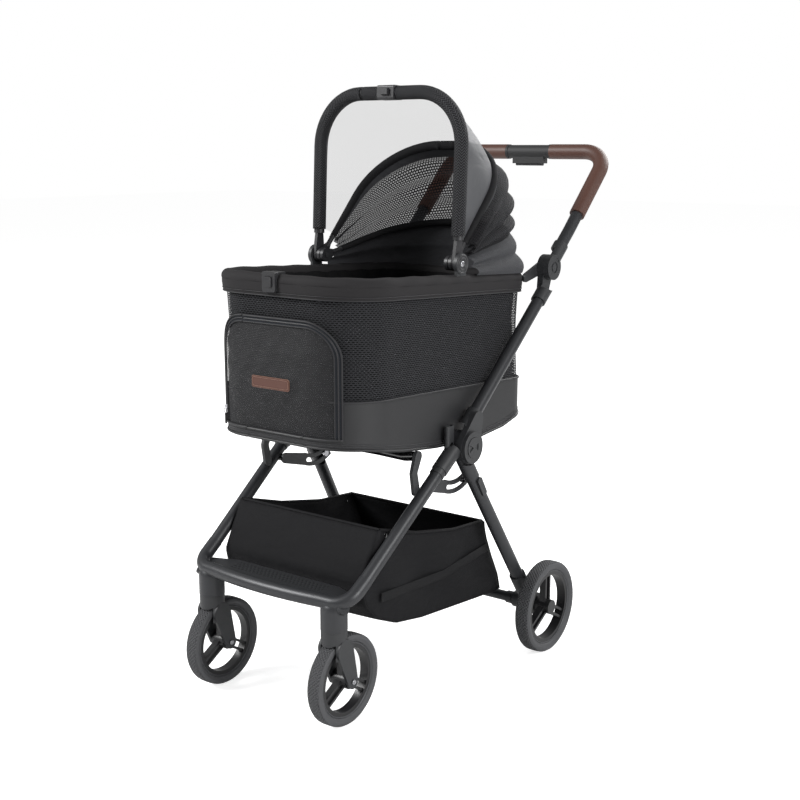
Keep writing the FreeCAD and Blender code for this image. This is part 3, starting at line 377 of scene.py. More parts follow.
def make_materials():
    m = {}
    dull = {"Specular_IOR_Level": 0.12}
    satin = {"Specular_IOR_Level": 0.2}
    m["frame"] = grain(shader("powder_coat", (0.030, 0.031, 0.034), 0.38, 0.25), 2600, 0.12)
    m["gloss"] = shader("gloss_black", (0.010, 0.010, 0.011), 0.14, 0.0, Coat_Weight=0.5)
    m["plastic"] = grain(shader("dark_plastic", (0.022, 0.023, 0.025), 0.48), 1800, 0.15)
    m["plastic_dark"] = grain(shader("black_plastic", (0.018, 0.018, 0.020), 0.42), 1800, 0.12)
    m["rubber"] = grain(shader("sleeve_rubber", (0.016, 0.016, 0.017), 0.62), 1200, 0.3)
    m["steel"] = shader("zinc_steel", (0.42, 0.42, 0.44), 0.32, 1.0)
    m["wheel"] = shader("wheel_moulding", (0.010, 0.010, 0.011), 0.36)
    # painted highlight: pale metallic rings standing in for the light caught on the wheels' rim edges
    m["wheel_edge"] = shader("painted_rim_highlight", (0.075, 0.077, 0.082), 0.4, 0.3)
    m["tyre"] = tread(shader("tyre_foam", (0.055, 0.056, 0.060), 0.72))
    m["tyre_side"] = grain(shader("tyre_side", (0.060, 0.061, 0.065), 0.62), 900, 0.12)
    m["fabric"] = weave(shader("black_cloth", (0.012, 0.012, 0.0135), 0.88, **dull), 0.0016)
    basket_cloth = shader("basket_cloth", (0.0105, 0.0105, 0.0115), 0.74, **dull)
    m["basket"] = wrinkle(weave(basket_cloth, 0.0014, 0.3), 9.0, 0.5, 0.012)
    m["mesh"] = open_holes(shader("wall_mesh", (0.026, 0.0265, 0.029), 0.66, **dull),
                           0.0080, 0.0036, 0.40, 0.27, 0.85)
    door_mesh = shader("door_mesh", (0.012, 0.012, 0.0135), 0.55, Specular_IOR_Level=0.3)
    m["door_mesh"] = wrinkle(open_holes(door_mesh, 0.0042, 0.0032, 0.30, 0.28, 0.6), 9.0, 0.45, 0.006)
    m["liner"] = wrinkle(shader("liner_cloth", (0.030, 0.031, 0.034), 0.30), 16.0, 0.8, 0.016)
    m["inner"] = wrinkle(shader("inner_cloth", (0.006, 0.006, 0.0065), 0.8, **dull), 12.0, 0.6, 0.012)
    m["leatherette"] = grain(shader("leatherette", (0.012, 0.0122, 0.0135), 0.52), 900, 0.45)
    m["rim_cloth"] = grain(shader("rim_cloth", (0.020, 0.019, 0.020), 0.80, **satin), 1100, 0.3)
    m["piping"] = shader("piping", (0.013, 0.013, 0.015), 0.6)
    m["zip"] = weave(shader("zip_tape", (0.022, 0.024, 0.029), 0.7, **satin), 0.0016, 0.4)
    m["stitch"] = shader("stitching", (0.030, 0.030, 0.033), 0.7)
    leather = shader("brown_leather", (0.075, 0.031, 0.021), 0.50)
    m["leather"] = grain(grain(leather, 420, 0.35, 0.0006), 90, 0.1, 0.001)
    m["label"] = grain(shader("label_leather", (0.082, 0.029, 0.018), 0.55), 700, 0.3)
    m["label_edge"] = shader("label_edge", (0.23, 0.12, 0.085), 0.6)
    # the sleeve's cords carry a painted highlight on their crowns
    m["woven"] = braid(shader("hoop_sleeve", (0.012, 0.012, 0.013), 0.62, **satin))
    m["binding"] = weave(shader("hood_binding", (0.013, 0.013, 0.014), 0.78, **dull), 0.0020, 0.4)
    hood_cloth = shader("hood_cloth", (0.050, 0.051, 0.055), 0.70, **dull)
    m["hood"] = wrinkle(weave(hood_cloth, 0.0016, 0.4), 11.0, 0.5, 0.010)
    m["hood_mesh"] = open_holes(shader("hood_mesh", (0.020, 0.020, 0.022), 0.7, **dull),
                                0.0060, 0.0044, 0.33, 0.33, 0.30)
    m["sheer"] = sheer(shader("sheer_mesh", (0.060, 0.062, 0.068), 0.6))
    m["strap"] = weave(shader("strap_web", (0.014, 0.014, 0.015), 0.7, **dull), 0.0022, 0.6)
    return m


def braid(material):
    """Herringbone cords round a sleeve, with a painted highlight on their crowns."""
    u, v = uv_parts(material)
    along = math_node(material, "FRACT", math_node(material, "DIVIDE", u, 0.0110))
    zigzag = math_node(material, "ABSOLUTE", math_node(material, "SUBTRACT", along, 0.5))
    slant = math_node(material, "ADD", v, math_node(material, "MULTIPLY", zigzag, 0.0120))
    wave = math_node(material, "SINE", math_node(material, "MULTIPLY", slant, 2 * math.pi / 0.0052))
    # painted highlight: the cords' crowns are mixed from near-black towards a pale grey
    crown = math_node(material, "MAXIMUM", wave, 0.0)
    painted_highlight_mix = add(material, "ShaderNodeMix", data_type="RGBA")
    painted_highlight_mix.inputs[6].default_value = (0.008, 0.008, 0.009, 1)
    painted_highlight_mix.inputs[7].default_value = (0.062, 0.063, 0.068, 1)
    link(material, crown, painted_highlight_mix.inputs[0])
    link(material, painted_highlight_mix.outputs[2], material.node_tree.nodes["Principled BSDF"].inputs["Base Color"])
    return bump(material, wave, 0.8, 0.0012)


def sheer(material):
    """Fine hood mesh: see-through from inside, against the light, and denser from outside."""
    principled = material.node_tree.nodes["Principled BSDF"]
    wrinkle(material, 10.0, 0.5, 0.008)
    geometry = add(material, "ShaderNodeNewGeometry")
    outer_face = geometry.outputs["Backfacing"]
    alpha = math_node(material, "ADD", SHEER_INSIDE,
                      math_node(material, "MULTIPLY", outer_face, SHEER_OUTSIDE - SHEER_INSIDE))
    link(material, alpha, principled.inputs["Alpha"])
    return material


def tread(material):
    """Diamond blocks across the tyre."""
    u, v = uv_parts(material)
    slants = []
    for slant in ("ADD", "SUBTRACT"):
        across = math_node(material, "MULTIPLY", math_node(material, slant, u, v), 900.0)
        slants.append(math_node(material, "SINE", across))
    return bump(material, math_node(material, "MAXIMUM", slants[0], slants[1]), 0.9, 0.0016)


M = make_materials()


# ---- frame: the CAD nodes keep their own shape ----
def paint(names, material):
    for name in names:
        node = nodes[name]
        node.data.materials.clear()
        node.data.materials.append(M[material])


def pair(*names):
    return [name + "_" + side for name in names for side, _ in SIDES]


def paint_frame():
    paint(pair("front_leg", "lower_handle", "rear_leg", "corner_elbow"), "frame")
    paint(["front_crossbar", "upper_handle", "rear_axle_tube", "slot_plates", "rim_brackets"], "frame")
    paint(["base_loop"], "gloss")
    paint(pair("hub_housing", "knuckle_lower", "wheel_bracket", "caster_fork", "leg_button"), "plastic")
    paint(["hub_caps", "leg_collars", "knuckle_upper", "base_posts", "footrest_plate"], "plastic")
    paint(["canopy_pivots", "brake_pedal", "base_arms"], "plastic")
    paint(["latch_housing", "latch_button", "hoop_buckle", "handle_trigger"], "plastic_dark")
    paint(["handle_sleeve"], "rubber")
    paint(["handle_grips"], "leather")
    paint(["hinge_pins", "rear_pins"], "steel")
    paint(pair("front_wheel", "rear_wheel"), "wheel")
    paint(["canopy_hoop", "canopy_mid_bow", "canopy_rear_bow", "rim_frame"], "plastic_dark")
    paint(["carrier_floor"], "fabric")


# ---- plan of the carrier ----
def plan(grow, count, z=0.0):
    """Outline of the carrier seen from above, from the middle of the rear round by the left side."""
    half, front, rear = HALF + grow, FRONT - grow, REAR + grow
    front_r, rear_r = FRONT_CORNER + grow, REAR_CORNER + grow
    corners = [(half - rear_r, rear - rear_r, rear_r, 90), (half - front_r, front + front_r, front_r, 0),
               (-half + front_r, front + front_r, front_r, -90), (-half + rear_r, rear - rear_r, rear_r, -180)]
    points = [(0, rear, z)]
    for x, y, radius, start in corners:
        for k in range(13):
            angle = math.radians(start - 90 * k / 12)
            points.append((x + radius * math.cos(angle), y + radius * math.sin(angle), z))
    return resample(points, count, closed=True)


def rim_z(y):
    return RIM_Z - (y - FRONT - 0.006) * RIM_TILT


def ring_rows(grows, levels):
    """Rows round the carrier. Each level gives a height for a point's Y."""
    rows = []
    for grow, level in zip(grows, levels):
        rows.append([Vector((p.x, p.y, level(p.y))) for p in plan(grow, ROUND)])
    return rows


def mix_levels(low, high, share):
    return lambda y: low(y) * (1 - share) + high(y) * share


def carrier():
    top = lambda y: rim_z(y) - 0.012
    band = lambda y: between(BAND_TOP, y)
    foot = lambda y: between(BOTTOM, y)
    count = 16
    shares = [k / count for k in range(count + 1)]
    grows = [-0.0015 - 0.004 * math.sin(math.pi * s) for s in shares]
    rows = ring_rows(grows, [mix_levels(band, top, s) for s in shares])
    walls = dress(sheet_mesh("wall_mesh_panel", rows, ring=True), M["mesh"], "frame")
    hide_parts("carrier_walls")

    lining_rows = ring_rows([g - LINING_GAP for g in grows], [mix_levels(band, top, s) for s in shares])
    ripple(lining_rows, 0.0035, 17)
    lining = dress(sheet_mesh("wall_lining", lining_rows, ring=True), M["inner"], "frame")

    shares = [k / 6 for k in range(7)]
    rows = ring_rows([0.0012] * 7, [mix_levels(foot, band, s) for s in shares])
    skirt = dress(sheet_mesh("lower_band", rows, ring=True), M["leatherette"], "frame")
    for name, level, grow, radius, mat in (("band_piping", band, 0.0018, 0.0022, "piping"),
                                           ("foot_piping", foot, 0.0015, 0.0026, "leatherette")):
        path = [Vector((p.x, p.y, level(p.y))) for p in plan(grow, ROUND)]
        dress(tube_mesh(name, path, radius, 8, closed=True), M[mat], "frame")
    for k, lift in enumerate((0.006, 0.010)):
        path = [Vector((p.x, p.y, foot(p.y) + lift)) for p in plan(0.0016, ROUND)]
        stitch = tube_mesh("foot_stitch_%d" % k, path, 0.0006, 6, closed=True)
        dress(stitch, M["stitch"], "frame")


def ripple(rows, depth, waves, seed=0.0):
    """Small creases, pushed in and out from the carrier's middle."""
    middle = Vector((0, (FRONT + REAR) / 2, 0))
    for j, row in enumerate(rows):
        for i, p in enumerate(row):
            out = Vector((p.x - middle.x, p.y - middle.y, 0)).normalized()
            turn = 2 * math.pi * waves * i / len(row) + seed
            row[i] = p + out * depth * math.sin(turn + 0.8 * math.sin(turn * 0.37 + j * 0.5))


def rim():
    count = 260
    path = []
    radii = []
    for i, p in enumerate(plan(-0.006, count)):
        path.append(Vector((p.x, p.y, rim_z(p.y))))
        tuck = math.cos(2 * math.pi * i * 22 / count)
        radii.append(RIM_R + 0.0006 * tuck)
    cover = dress(tube_mesh("rim_padding", path, radii, 18, closed=True, up=Vector((0, 0, 1))), M["rim_cloth"],
                  "frame")
    tuck_behind_latch(cover)
    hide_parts("rim_cover")
    low = lambda y: rim_z(y) - 0.027
    high = lambda y: rim_z(y) - 0.004
    rows = ring_rows([0.0042, 0.0052, 0.0062, 0.0062],
                     [low, mix_levels(low, high, 0.35), mix_levels(low, high, 0.7), high])
    flap = dress(sheet_mesh("rim_flap", rows, ring=True), M["rim_cloth"], "frame")
    tuck_behind_latch(flap)
    for name, level, grow, radius in (("flap_hem", low, 0.0042, 0.0011),
                                      ("flap_stitch", mix_levels(low, high, 0.25), 0.0056, 0.0006)):
        line = [Vector((p.x, p.y, level(p.y))) for p in plan(grow, ROUND)]
        dress(tube_mesh(name, line, radius, 6, closed=True), M["piping"], "frame")


def tuck_behind_latch(obj):
    """Presses cloth flat behind the rim latch, out of the way of its button."""
    for vertex in obj.data.vertices:
        if abs(vertex.co.x) < LATCH_HIDES and vertex.co.y < LATCH_BACK:
            vertex.co.y = LATCH_BACK


def inside():
    """Gathered lining at the opening, floor mat and hanging bottom."""
    top = lambda y: rim_z(y) + 0.002
    low = lambda y: rim_z(y) - 0.070
    rows = ring_rows([-0.016, -0.022, -0.026, -0.027, -0.024, -0.020],
                     [top] + [mix_levels(top, low, s) for s in (0.12, 0.35, 0.6, 0.8, 1.0)])
    for j, row in enumerate(rows[1:]):
        ripple([row], 0.0045 * (0.5 + 0.15 * j), 34, 0.3 * j)
    lip = dress(sheet_mesh("opening_lining", rows, ring=True), M["inner"], "frame")

    low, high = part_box("carrier_mat")
    rows = []
    for grow, z in ((-0.030, low.z), (-0.014, low.z + 0.003),
                    (-0.0105, low.z + 0.010), (-0.0105, high.z - 0.010),
                    (-0.015, high.z - 0.003), (-0.032, high.z),
                    (-0.09, high.z - 0.001), (-0.15, high.z - 0.001)):
        rows.append([Vector((p.x, p.y, z)) for p in plan(grow, 120)])
    mat = mesh_from_rows_closed("mat_cushion", rows)
    dress(mat, M["inner"], "frame")
    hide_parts("carrier_mat")

    rows = []
    steps = 10
    for k in range(steps + 1):
        share = k / steps
        row = []
        for p in plan(-0.002, 120):
            x, y = p.x * (1 - share), -0.114 + (p.y + 0.114) * (1 - share)
            edge = between(BOTTOM, p.y) + 0.002
            sag = 0.460 - 0.006 * math.cos(3 * x / HALF)
            row.append(Vector((x, y, edge * (1 - share) ** 2 + sag * (1 - (1 - share) ** 2))))
        rows.append(row)
    bottom = dress(sheet_mesh("carrier_bottom", rows, ring=True), M["fabric"], "frame")


def mesh_from_rows_closed(name, rows):
    """Closed form from rings of points, with a face over the first and last ring."""
    width = len(rows[0])
    points = [p for row in rows for p in row]
    faces = []
    for j in range(len(rows) - 1):
        for i in range(width):
            a, b = j * width + i, j * width + (i + 1) % width
            faces.append((a, b, b + width, a + width))
    faces.append(tuple(reversed(range(width))))
    faces.append(tuple(range((len(rows) - 1) * width, len(rows) * width)))
    return mesh_object(name, points, faces)


# ---- front door ----
def front_line(x, grow):
    """Y of the carrier's front at x."""
    half, front, radius = HALF + grow, FRONT - grow, FRONT_CORNER + grow
    edge = half - radius
    if abs(x) <= edge:
        return front
    step = abs(x) - edge
    return front + radius - math.sqrt(max(0.0, radius ** 2 - step ** 2))


def door_outline(inset, count):
    """Door outline from the lower left corner up, over and down again."""
    x, high, radius = DOOR["half"] - inset, DOOR["high"] - inset, DOOR["corner"] - inset
    points = [(x, DOOR["low"]), (x, high - radius)]
    for k in range(1, 12):
        angle = math.radians(90 * k / 12)
        points.append((x - radius + radius * math.cos(angle), high - radius + radius * math.sin(angle)))
    points.append((x - radius, high))
    points += [(-a, b) for a, b in reversed(points)]
    return [Vector((p[0], p[1])) for p in resample([Vector((a, b, 0)) for a, b in points], count)]


def panel_half(z):
    """Half the width of the door's cloth at a height, inside the zip tape."""
    radius = DOOR["corner"] - DOOR_TAPE
    rise = min(radius, max(0.0, z - (DOOR["high"] - DOOR["corner"])))
    return DOOR["half"] - DOOR_TAPE - radius + math.sqrt(radius ** 2 - rise ** 2)


def door_cloth(x, z):
    """How far the door's cloth stands out at a place: a soft bulge with crumples in its upper half."""
    up = (z - DOOR["low"]) / (DOOR["high"] - DOOR_TAPE - DOOR["low"])
    across = math.cos(0.5 * math.pi * min(1.0, abs(x) / panel_half(z)))
    hold = math.sin(math.pi * min(1.0, max(0.0, up))) * across
    crumple = math.sin(70 * x + 48 * z) * math.sin(95 * z - 38 * x) + 0.5 * math.sin(150 * x - 90 * z)
    return 0.0024 + hold * (DOOR_BULGE + 0.0016 * crumple * up)


def door():
    edge = door_outline(0.0, 120)
    inner = door_outline(0.011, 120)
    rows = []
    for share in (0, 0.33, 0.67, 1):
        rows.append([on_front(a.x * (1 - share) + b.x * share, a.y * (1 - share) + b.y * share, TAPE_LIFT)
                     for a, b in zip(edge, inner)])
    tape = dress(sheet_mesh("door_zip_tape", rows), M["zip"], "door")
    rows = []
    count = 56
    for j in range(count + 1):
        z = DOOR["low"] + (DOOR["high"] - DOOR_TAPE - DOOR["low"]) * j / count
        row = []
        for i in range(91):
            x = panel_half(z) * (2 * i / 90 - 1)
            row.append(on_front(x, z, door_cloth(x, z)))
        rows.append(row)
    panel = dress(sheet_mesh("door_panel", rows), M["door_mesh"], "door")
    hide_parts("front_door")
    lining_rows = [[on_front(p.x * 0.985, p.z, 0.0006 + 0.0012 * math.sin(p.x * 90 + p.z * 140)) for p in row]
                   for row in rows]
    lining = dress(sheet_mesh("door_lining", lining_rows), M["liner"], "door")
    for name, inset, radius, mat in (("door_edge", 0.0, 0.0016, "piping"),
                                     ("door_teeth", 0.0055, 0.0013, "plastic_dark"),
                                     ("door_seam", 0.0112, 0.0011, "piping")):
        path = [on_front(p.x, p.y, 0.0044) for p in door_outline(inset, 160)]
        dress(tube_mesh(name, path, radius, 8), M[mat], "door")
    base = [on_front(DOOR["half"] * (2 * i / 60 - 1), DOOR["low"] + 0.0005, TAPE_LIFT) for i in range(61)]
    dress(tube_mesh("door_foot", base, 0.0024, 8), M["leatherette"], "door")
    label()
    zip_pull()


def on_front(x, z, grow):
    return Vector((x, front_line(x, grow), z))


def zip_pull():
    """Ring, strap and slider of the door's zip, at the door's lower corner."""
    top = on_front(-DOOR["half"] + 0.006, DOOR["low"] + 0.022, 0.0075)
    angles = [2 * math.pi * k / 24 for k in range(24)]
    ring = [top + Vector((0.0045 * math.cos(a), -0.0005, 0.0045 * math.sin(a))) for a in angles]
    loop = tube_mesh("door_zip_ring", ring, 0.0007, 8, closed=True, up=Vector((0, 1, 0)))
    dress(loop, M["steel"], "door")
    place = top + Vector((0, -0.0006, -0.0145))
    strap = block_mesh("door_zip_strap", (0.0050, 0.0012, 0.021), place, bevel=0.0005)
    dress(strap, M["strap"], "door")
    place = top + Vector((0.0005, 0.0012, 0.007))
    slider = block_mesh("door_zip_slider", (0.0066, 0.0030, 0.0095), place, bevel=0.001)
    dress(slider, M["steel"], "door")


def label_rows(margin, lift):
    """Rounded oblong that follows the door's cloth."""
    half, tall, corner = LABEL["half"] - margin, LABEL["height"] / 2 - margin, LABEL["corner"]
    rows = []
    for j in range(13):
        up = tall * (2 * j / 12 - 1)
        into = max(0.0, abs(up) - (tall - corner))
        reach = half - corner + math.sqrt(max(0.0, corner ** 2 - into ** 2))
        row = []
        for i in range(33):
            x = reach * (2 * i / 32 - 1)
            row.append(on_front(x, LABEL["z"] + up, door_cloth(x, LABEL["z"]) + lift))
        rows.append(row)
    return rows


def label():
    """Plain leather label, with a paler edge and a line of stitching."""
    for name, margin, lift, mat in (("door_label_edge", 0.0, 0.0008, "label_edge"),
                                    ("door_label", 0.0007, 0.0013, "label")):
        dress(sheet_mesh(name, label_rows(margin, lift)), M[mat], "door")
    rows = label_rows(0.0030, 0.0016)
    ring = rows[0] + [row[-1] for row in rows[1:-1]] + rows[-1][::-1] + [row[0] for row in rows[-2:0:-1]]
    stitch = tube_mesh("door_label_stitch", ring, 0.00035, 6, closed=True)
    dress(stitch, M["label_edge"], "door")


# ---- hood ----
def arch(half, reach, corner, start, count):
    """(x, distance from the pivots) points of an arch, from the left foot over to the right one."""
    points = [(half, start), (half, reach - corner)]
    for k in range(1, 12):
        angle = math.radians(90 * k / 12)
        points.append((half - corner + corner * math.cos(angle), reach - corner + corner * math.sin(angle)))
    points.append((half - corner, reach))
    points += [(-a, b) for a, b in reversed(points)]
    return resample([Vector((a, b, 0)) for a, b in points], count)


def hood_point(x, reach, angle):
    turn = math.radians(angle)
    return Vector((x, PIVOT.y + reach * math.cos(turn), PIVOT.z + reach * math.sin(turn)))


def arch_path(shape, start, count, grow=0.0, angle=None):
    at = shape["angle"] if angle is None else angle
    line = arch(shape["half"] + grow, shape["reach"] + grow, shape["corner"] + grow, start, count)
    return [hood_point(p.x, p.y, at) for p in line]


def mixed(a, b, share):
    return {key: a[key] * (1 - share) + b[key] * share for key in a}


def hood():
    sleeve = tube_mesh("hoop_sleeve", arch_path(HOOP, SLEEVE_FOOT, 160), HOOP_R + 0.0028, 24)
    dress(sleeve, M["woven"], "hoop")
    path = arch_path(HOOP, 0.056, 140, -0.0035, HOOP["angle"] - 1.4)
    tape = tube_mesh("hoop_inner_tape", path, HOOP_R * 0.72, 16)
    dress(tape, M["binding"], "hoop")
    thin = 0.0062
    for name, shape, body, thick in (("mid_bow_binding", MID_BOW, "mid_bow", 0.0098),
                                     ("rear_bow_binding", REAR_BOW, "frame", 0.0072)):
        radii = [thin + (thick - thin) * math.sin(math.pi * i / (HOOD_POINTS - 1))
                 for i in range(HOOD_POINTS)]
        path = arch_path(shape, BINDING_FOOT, HOOD_POINTS)
        dress(tube_mesh(name, path, radii, 14), M["binding"], body)

    rows = []
    steps = 18
    for j in range(steps + 1):
        share = j / steps
        shape = mixed(HOOP, MID_BOW, share)
        sag = 0.006 * math.sin(math.pi * share)
        angle = HOOP["angle"] - 0.8 + (MID_BOW["angle"] + 0.6 - HOOP["angle"] + 0.8) * share
        line = arch(shape["half"] - sag * 0.5, shape["reach"] - sag, shape["corner"], SLEEVE_FOOT, HOOD_POINTS)
        rows.append([hood_point(p.x, p.y, angle) for p in line])
    window = sheet_mesh("hood_window", rows)
    dress(window, M["sheer"])
    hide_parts("canopy_window")
    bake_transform(window)

    rows = []
    steps = 48
    split = 8
    for j in range(steps + 1):
        share = j / steps
        shape = mixed(MID_BOW, REAR_BOW, share)
        angle = MID_BOW["angle"] + (REAR_BOW["angle"] - MID_BOW["angle"]) * share
        line = arch(shape["half"], shape["reach"], shape["corner"], BINDING_FOOT, HOOD_POINTS)
        folded = max(0.0, (j - split) / (steps - split))
        row = []
        for i, p in enumerate(line):
            sway = 0.10 * math.sin(i * 0.09 + 1.3)
            deep = 0.0210 + 0.004 * math.sin(i * 0.17 + 5 * folded)
            fold = deep * abs(math.sin(math.pi * (3 * folded + sway * folded * (1 - folded) * 4)))
            away = Vector((p.x, p.y, 0)).normalized() * fold
            row.append(hood_point(p.x + away.x, p.y + away.y, angle))
        rows.append(row)
    band = dress(sheet_mesh("hood_band", rows[:split + 1]), M["hood"])
    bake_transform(band)
    folds = dress(sheet_mesh("hood_rear_folds", rows[split:]), M["hood_mesh"])
    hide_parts("canopy_rear")
    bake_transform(folds)

    tail_top = arch_path(REAR_BOW, BINDING_FOOT, HOOD_POINTS, 0.004)
    tail = [p for p in plan(0.006, 600) if p.y > -0.03]
    left = sorted([p for p in tail if p.x >= 0],
                  key=lambda p: p.y if p.x > HALF * 0.9 else 1 + (HALF - p.x))
    line = left + [Vector((-p.x, p.y, p.z)) for p in reversed(left)]
    foot = [Vector((p.x, p.y, rim_z(p.y) + 0.010)) for p in resample(line, HOOD_POINTS)]
    rows = []
    steps = 16
    for j in range(steps + 1):
        share = j / steps
        fold = 0.010 * abs(math.sin(math.pi * 2 * share))
        row = []
        for a, b in zip(tail_top, foot):
            p = a.lerp(b, share)
            out = Vector((p.x, p.y - PIVOT.y, 0))
            if out.length > 1e-4:
                out.normalize()
            row.append(p + out * fold)
        rows.append(row)
    back = dress(sheet_mesh("hood_tail", rows), M["hood"], "frame")


def pivot_rings():
    """Raised rings and a screw head on each hood pivot."""
    for side_name, side in SIDES:
        centre = (side * 0.184, PIVOT.y, PIVOT.z)
        for k, radius in enumerate((0.0165, 0.0110)):
            profile = [(0.0, radius + 0.0014), (side * 0.0009, radius + 0.0007),
                       (side * 0.0009, radius - 0.0007), (0.0, radius - 0.0014)]
            ring = turned("pivot_ring_%s_%d" % (side_name, k), centre, profile, 56)
            dress(ring, M["plastic_dark"], "frame")
        head = [(0.0, 0.0055), (side * 0.0011, 0.0050), (side * 0.0015, 0.0030), (side * 0.0015, 0.0002)]
        dress(turned("pivot_screw_" + side_name, centre, head, 40), M["steel"], "frame")


# ---- storage basket ----
def basket():
    outline = resample([Vector((y, z, 0)) for y, z in BASKET_PROFILE], 90)
    top = resample([Vector((y, z, 0)) for y, z in BASKET_TOP], 90)
    count = 40
    rows = []
    for i in range(count + 1):
        share = 2 * i / count - 1
        x = BASKET_HALF * share
        row = []
        for p in outline:
            sag = 0.010 * (1 - share ** 2) * max(0.0, (0.30 - p.y) / 0.18)
            row.append(Vector((x, p.x, p.y - sag * 0.6 + BASKET_LIFT)))
        rows.append(row)
    floor = sheet_mesh("basket_body", rows)
    dress(floor, M["basket"])
    pieces = [floor]
    for side_name, side in SIDES:
        side_rows = []
        for j in range(21):
            share = j / 20
            row = []
            for a, b in zip(outline, top):
                y = a.x * (1 - share) + b.x * share
                z = a.y * (1 - share) + b.y * share
                middle = math.sin(math.pi * share)
                bulge = 0.004 * middle + 0.003 * math.sin(y * 40 + z * 25) * middle
                row.append(Vector((side * (BASKET_HALF + bulge - 0.001), y, z + BASKET_LIFT)))
            side_rows.append(row)
        wall = dress(sheet_mesh("basket_side_" + side_name, side_rows), M["basket"])
        pieces.append(wall)
    for piece in pieces:
        thicken(piece, 0.0016)
    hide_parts("storage_basket")
    for piece in pieces:
        bake(piece)
        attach(piece, "frame")
        fold_with_legs(piece)


def fold_with_legs(piece):
    """Gives the piece a mesh of its own."""
    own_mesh(piece)


def basket_trims():
    """Hem round the basket's top, two snaps and a tape on each side."""
    for side_name, side in SIDES:
        line = [Vector((side * BASKET_HALF, y, z + HEM_LIFT)) for y, z in BASKET_TOP]
        hem = tube_mesh("basket_hem_" + side_name, resample(line, 60), HEM_R, 8)
        trims = [(hem, "strap")]
        for k, (y, z) in enumerate(((-0.296, 0.334), (0.010, 0.272))):
            profile = [(0.0, 0.0062), (side * 0.0012, 0.0058), (side * 0.0019, 0.0036),
                       (side * 0.0019, 0.0002)]
            centre = (side * (BASKET_HALF + 0.0012), y, z)
            snap = turned("basket_snap_%s_%d" % (side_name, k), centre, profile, 32)
            trims.append((snap, "gloss"))
        route = [Vector((side * (BASKET_HALF + 0.0072), y, z))
                 for y, z in ((-0.315, 0.222), (-0.12, 0.212), (0.040, 0.228))]
        tape = tube_mesh("basket_tape_" + side_name, resample(route, 50), 0.009, 12, flatten=0.10,
                         up=Vector((0, 0, 1)))
        trims.append((tape, "strap"))
        for trim, material in trims:
            dress(trim, M[material], "frame")
            fold_with_legs(trim)
    for name, (y, z) in (("basket_hem_front", BASKET_TOP[0]), ("basket_hem_rear", BASKET_TOP[-1])):
        line = [Vector((BASKET_HALF * (2 * i / 40 - 1), y, z + HEM_LIFT)) for i in range(41)]
        hem = dress(tube_mesh(name, line, HEM_R, 8), M["strap"], "frame")
        fold_with_legs(hem)


def bake(obj):
    """Applies a piece's modifiers."""
    graph = bpy.context.evaluated_depsgraph_get()
    baked = bpy.data.meshes.new_from_object(obj.evaluated_get(graph))
    obj.modifiers.clear()
    obj.data = baked


# ---- wheels ----
def tyre_profile(width, radius, depth):
    half = width / 2
    seat = radius - depth
    return [(-half * 0.62, seat), (-half * 0.80, seat + depth * 0.10),
            (-half * 0.9, seat + depth * 0.22), (-half * 0.91, seat + depth * 0.34),
            (-half * 0.98, seat + depth * 0.38), (-half, seat + depth * 0.55),
            (-half * 0.95, seat + depth * 0.74), (-half * 0.86, radius - depth * 0.14)]


def wheels():
    for kind, w in WHEELS.items():
        for side_name, side in SIDES:
            body = kind + "_roller_" + side_name
            centre = (side * w["x"], w["y"], w["r"])
            wall = tyre_profile(w["width"], w["r"], w["depth"])
            half = w["width"] / 2
            mirrored = [(-a, b) for a, b in reversed(wall)]
            shoulder = w["r"] - w["depth"] * 0.05
            crown = [wall[-1], (-half * 0.70, shoulder), (-half * 0.5, w["r"] - 0.0004),
                     (0, w["r"] - 0.0002), (half * 0.5, w["r"] - 0.0004), (half * 0.70, shoulder),
                     mirrored[0]]
            name = kind + "_tyre_tread_" + side_name
            face = dress(turned(name, centre, crown, 160), M["tyre"], body)
            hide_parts(kind + "_tyre_" + side_name)
            for k, line in enumerate((wall, mirrored)):
                dress(turned(kind + "_tyre_wall_%s_%d" % (side_name, k), centre, line, 120), M["tyre_side"],
                      body)


def rim_highlights_and_screws():
    """Painted highlight: a pale ring on each wheel's rim edge, and the screw heads of the caster axles."""
    for kind, w in WHEELS.items():
        seat = w["r"] - w["depth"]
        face = w["width"] * 0.31
        for side_name, side in SIDES:
            body = kind + "_roller_" + side_name
            centre = (side * w["x"], w["y"], w["r"])
            for end_name, end in (("inner", -side), ("outer", side)):
                # a pale ring painted on each face of the rim, as the highlight on its edge
                at = end * face
                edge = [(at, seat - 0.0002), (at + end * 0.0009, seat - 0.0008),
                        (at + end * 0.0009, seat - 0.0020), (at, seat - 0.0026)]
                ring = turned("%s_wheel_edge_%s_%s" % (kind, side_name, end_name), centre, edge, 96)
                dress(ring, M["wheel_edge"], body)
    for side_name, side in SIDES:
        w = WHEELS["front"]
        for end_name, end in (("inner", -side), ("outer", side)):
            centre = (side * w["x"] + end * 0.0255, w["y"], w["r"])
            head = [(0.0, 0.0046), (end * 0.0010, 0.0042), (end * 0.0013, 0.0026), (end * 0.0004, 0.0020),
                    (end * 0.0004, 0.0002)]
            screw = turned("caster_screw_%s_%s" % (side_name, end_name), centre, head, 32)
            dress(screw, M["steel"], "caster_" + side_name)


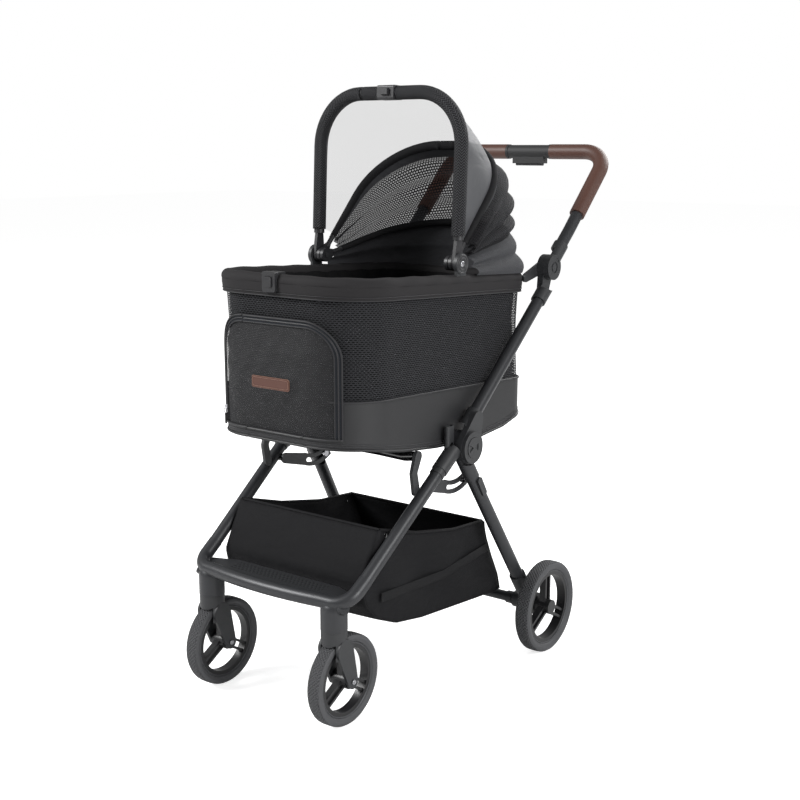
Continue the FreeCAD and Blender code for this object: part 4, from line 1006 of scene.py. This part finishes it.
# ---- camera, lights and floor ----
def studio():
    scene = bpy.context.scene
    data = bpy.data.cameras.new("camera")
    data.lens = CAMERA_LENS
    data.sensor_width = 36.0
    data.clip_end = 50
    camera = bpy.data.objects.new("camera", data)
    camera.location = CAMERA_PLACE
    camera.rotation_euler = [math.radians(a) for a in CAMERA_TURN]
    scene.collection.objects.link(camera)
    scene.camera = camera
    scene.view_settings.view_transform = "Standard"
    scene.view_settings.look = "None"
    world = bpy.data.worlds.new("studio")
    world.use_nodes = True
    back = world.node_tree.nodes["Background"]
    back.inputs["Color"].default_value = (1, 1, 1, 1)
    seen = world.node_tree.nodes.new("ShaderNodeLightPath")
    strength = world.node_tree.nodes.new("ShaderNodeMapRange")
    strength.inputs["To Min"].default_value = SKY_LIGHT
    strength.inputs["To Max"].default_value = 1.0
    world.node_tree.links.new(seen.outputs["Is Camera Ray"], strength.inputs["Value"])
    world.node_tree.links.new(strength.outputs["Result"], back.inputs["Strength"])
    scene.world = world
    for name, place, size, power in (("key", (-2.6, -3.2, 3.4), 2.0, 260), ("side", (3.4, -0.6, 1.8), 1.6, 90),
                                     ("back", (0.4, 3.2, 2.6), 2.4, 120)):
        lamp = bpy.data.lights.new(name, "AREA")
        lamp.size = size
        lamp.energy = power
        obj = bpy.data.objects.new(name, lamp)
        obj.location = place
        obj.rotation_euler = (Vector((0, 0, 0.6)) - Vector(place)).to_track_quat("-Z", "Y").to_euler()
        scene.collection.objects.link(obj)
    floor = mesh_object("floor", [(-20, -20, 0), (20, -20, 0), (20, 20, 0), (-20, 20, 0)], [(0, 1, 2, 3)])
    ground = shader("studio_floor", (0.8, 0.8, 0.8), 0.9, Specular_IOR_Level=0.0, Emission_Color=(1, 1, 1, 1))
    seen = add(ground, "ShaderNodeLightPath")
    glow = math_node(ground, "MULTIPLY", seen.outputs["Is Camera Ray"], FLOOR_GLOW)
    link(ground, glow, ground.node_tree.nodes["Principled BSDF"].inputs["Emission Strength"])
    floor.data.materials.append(ground)


paint_frame()
carrier()
rim()
inside()
door()
hood()
pivot_rings()
basket()
basket_trims()
wheels()
rim_highlights_and_screws()
studio()
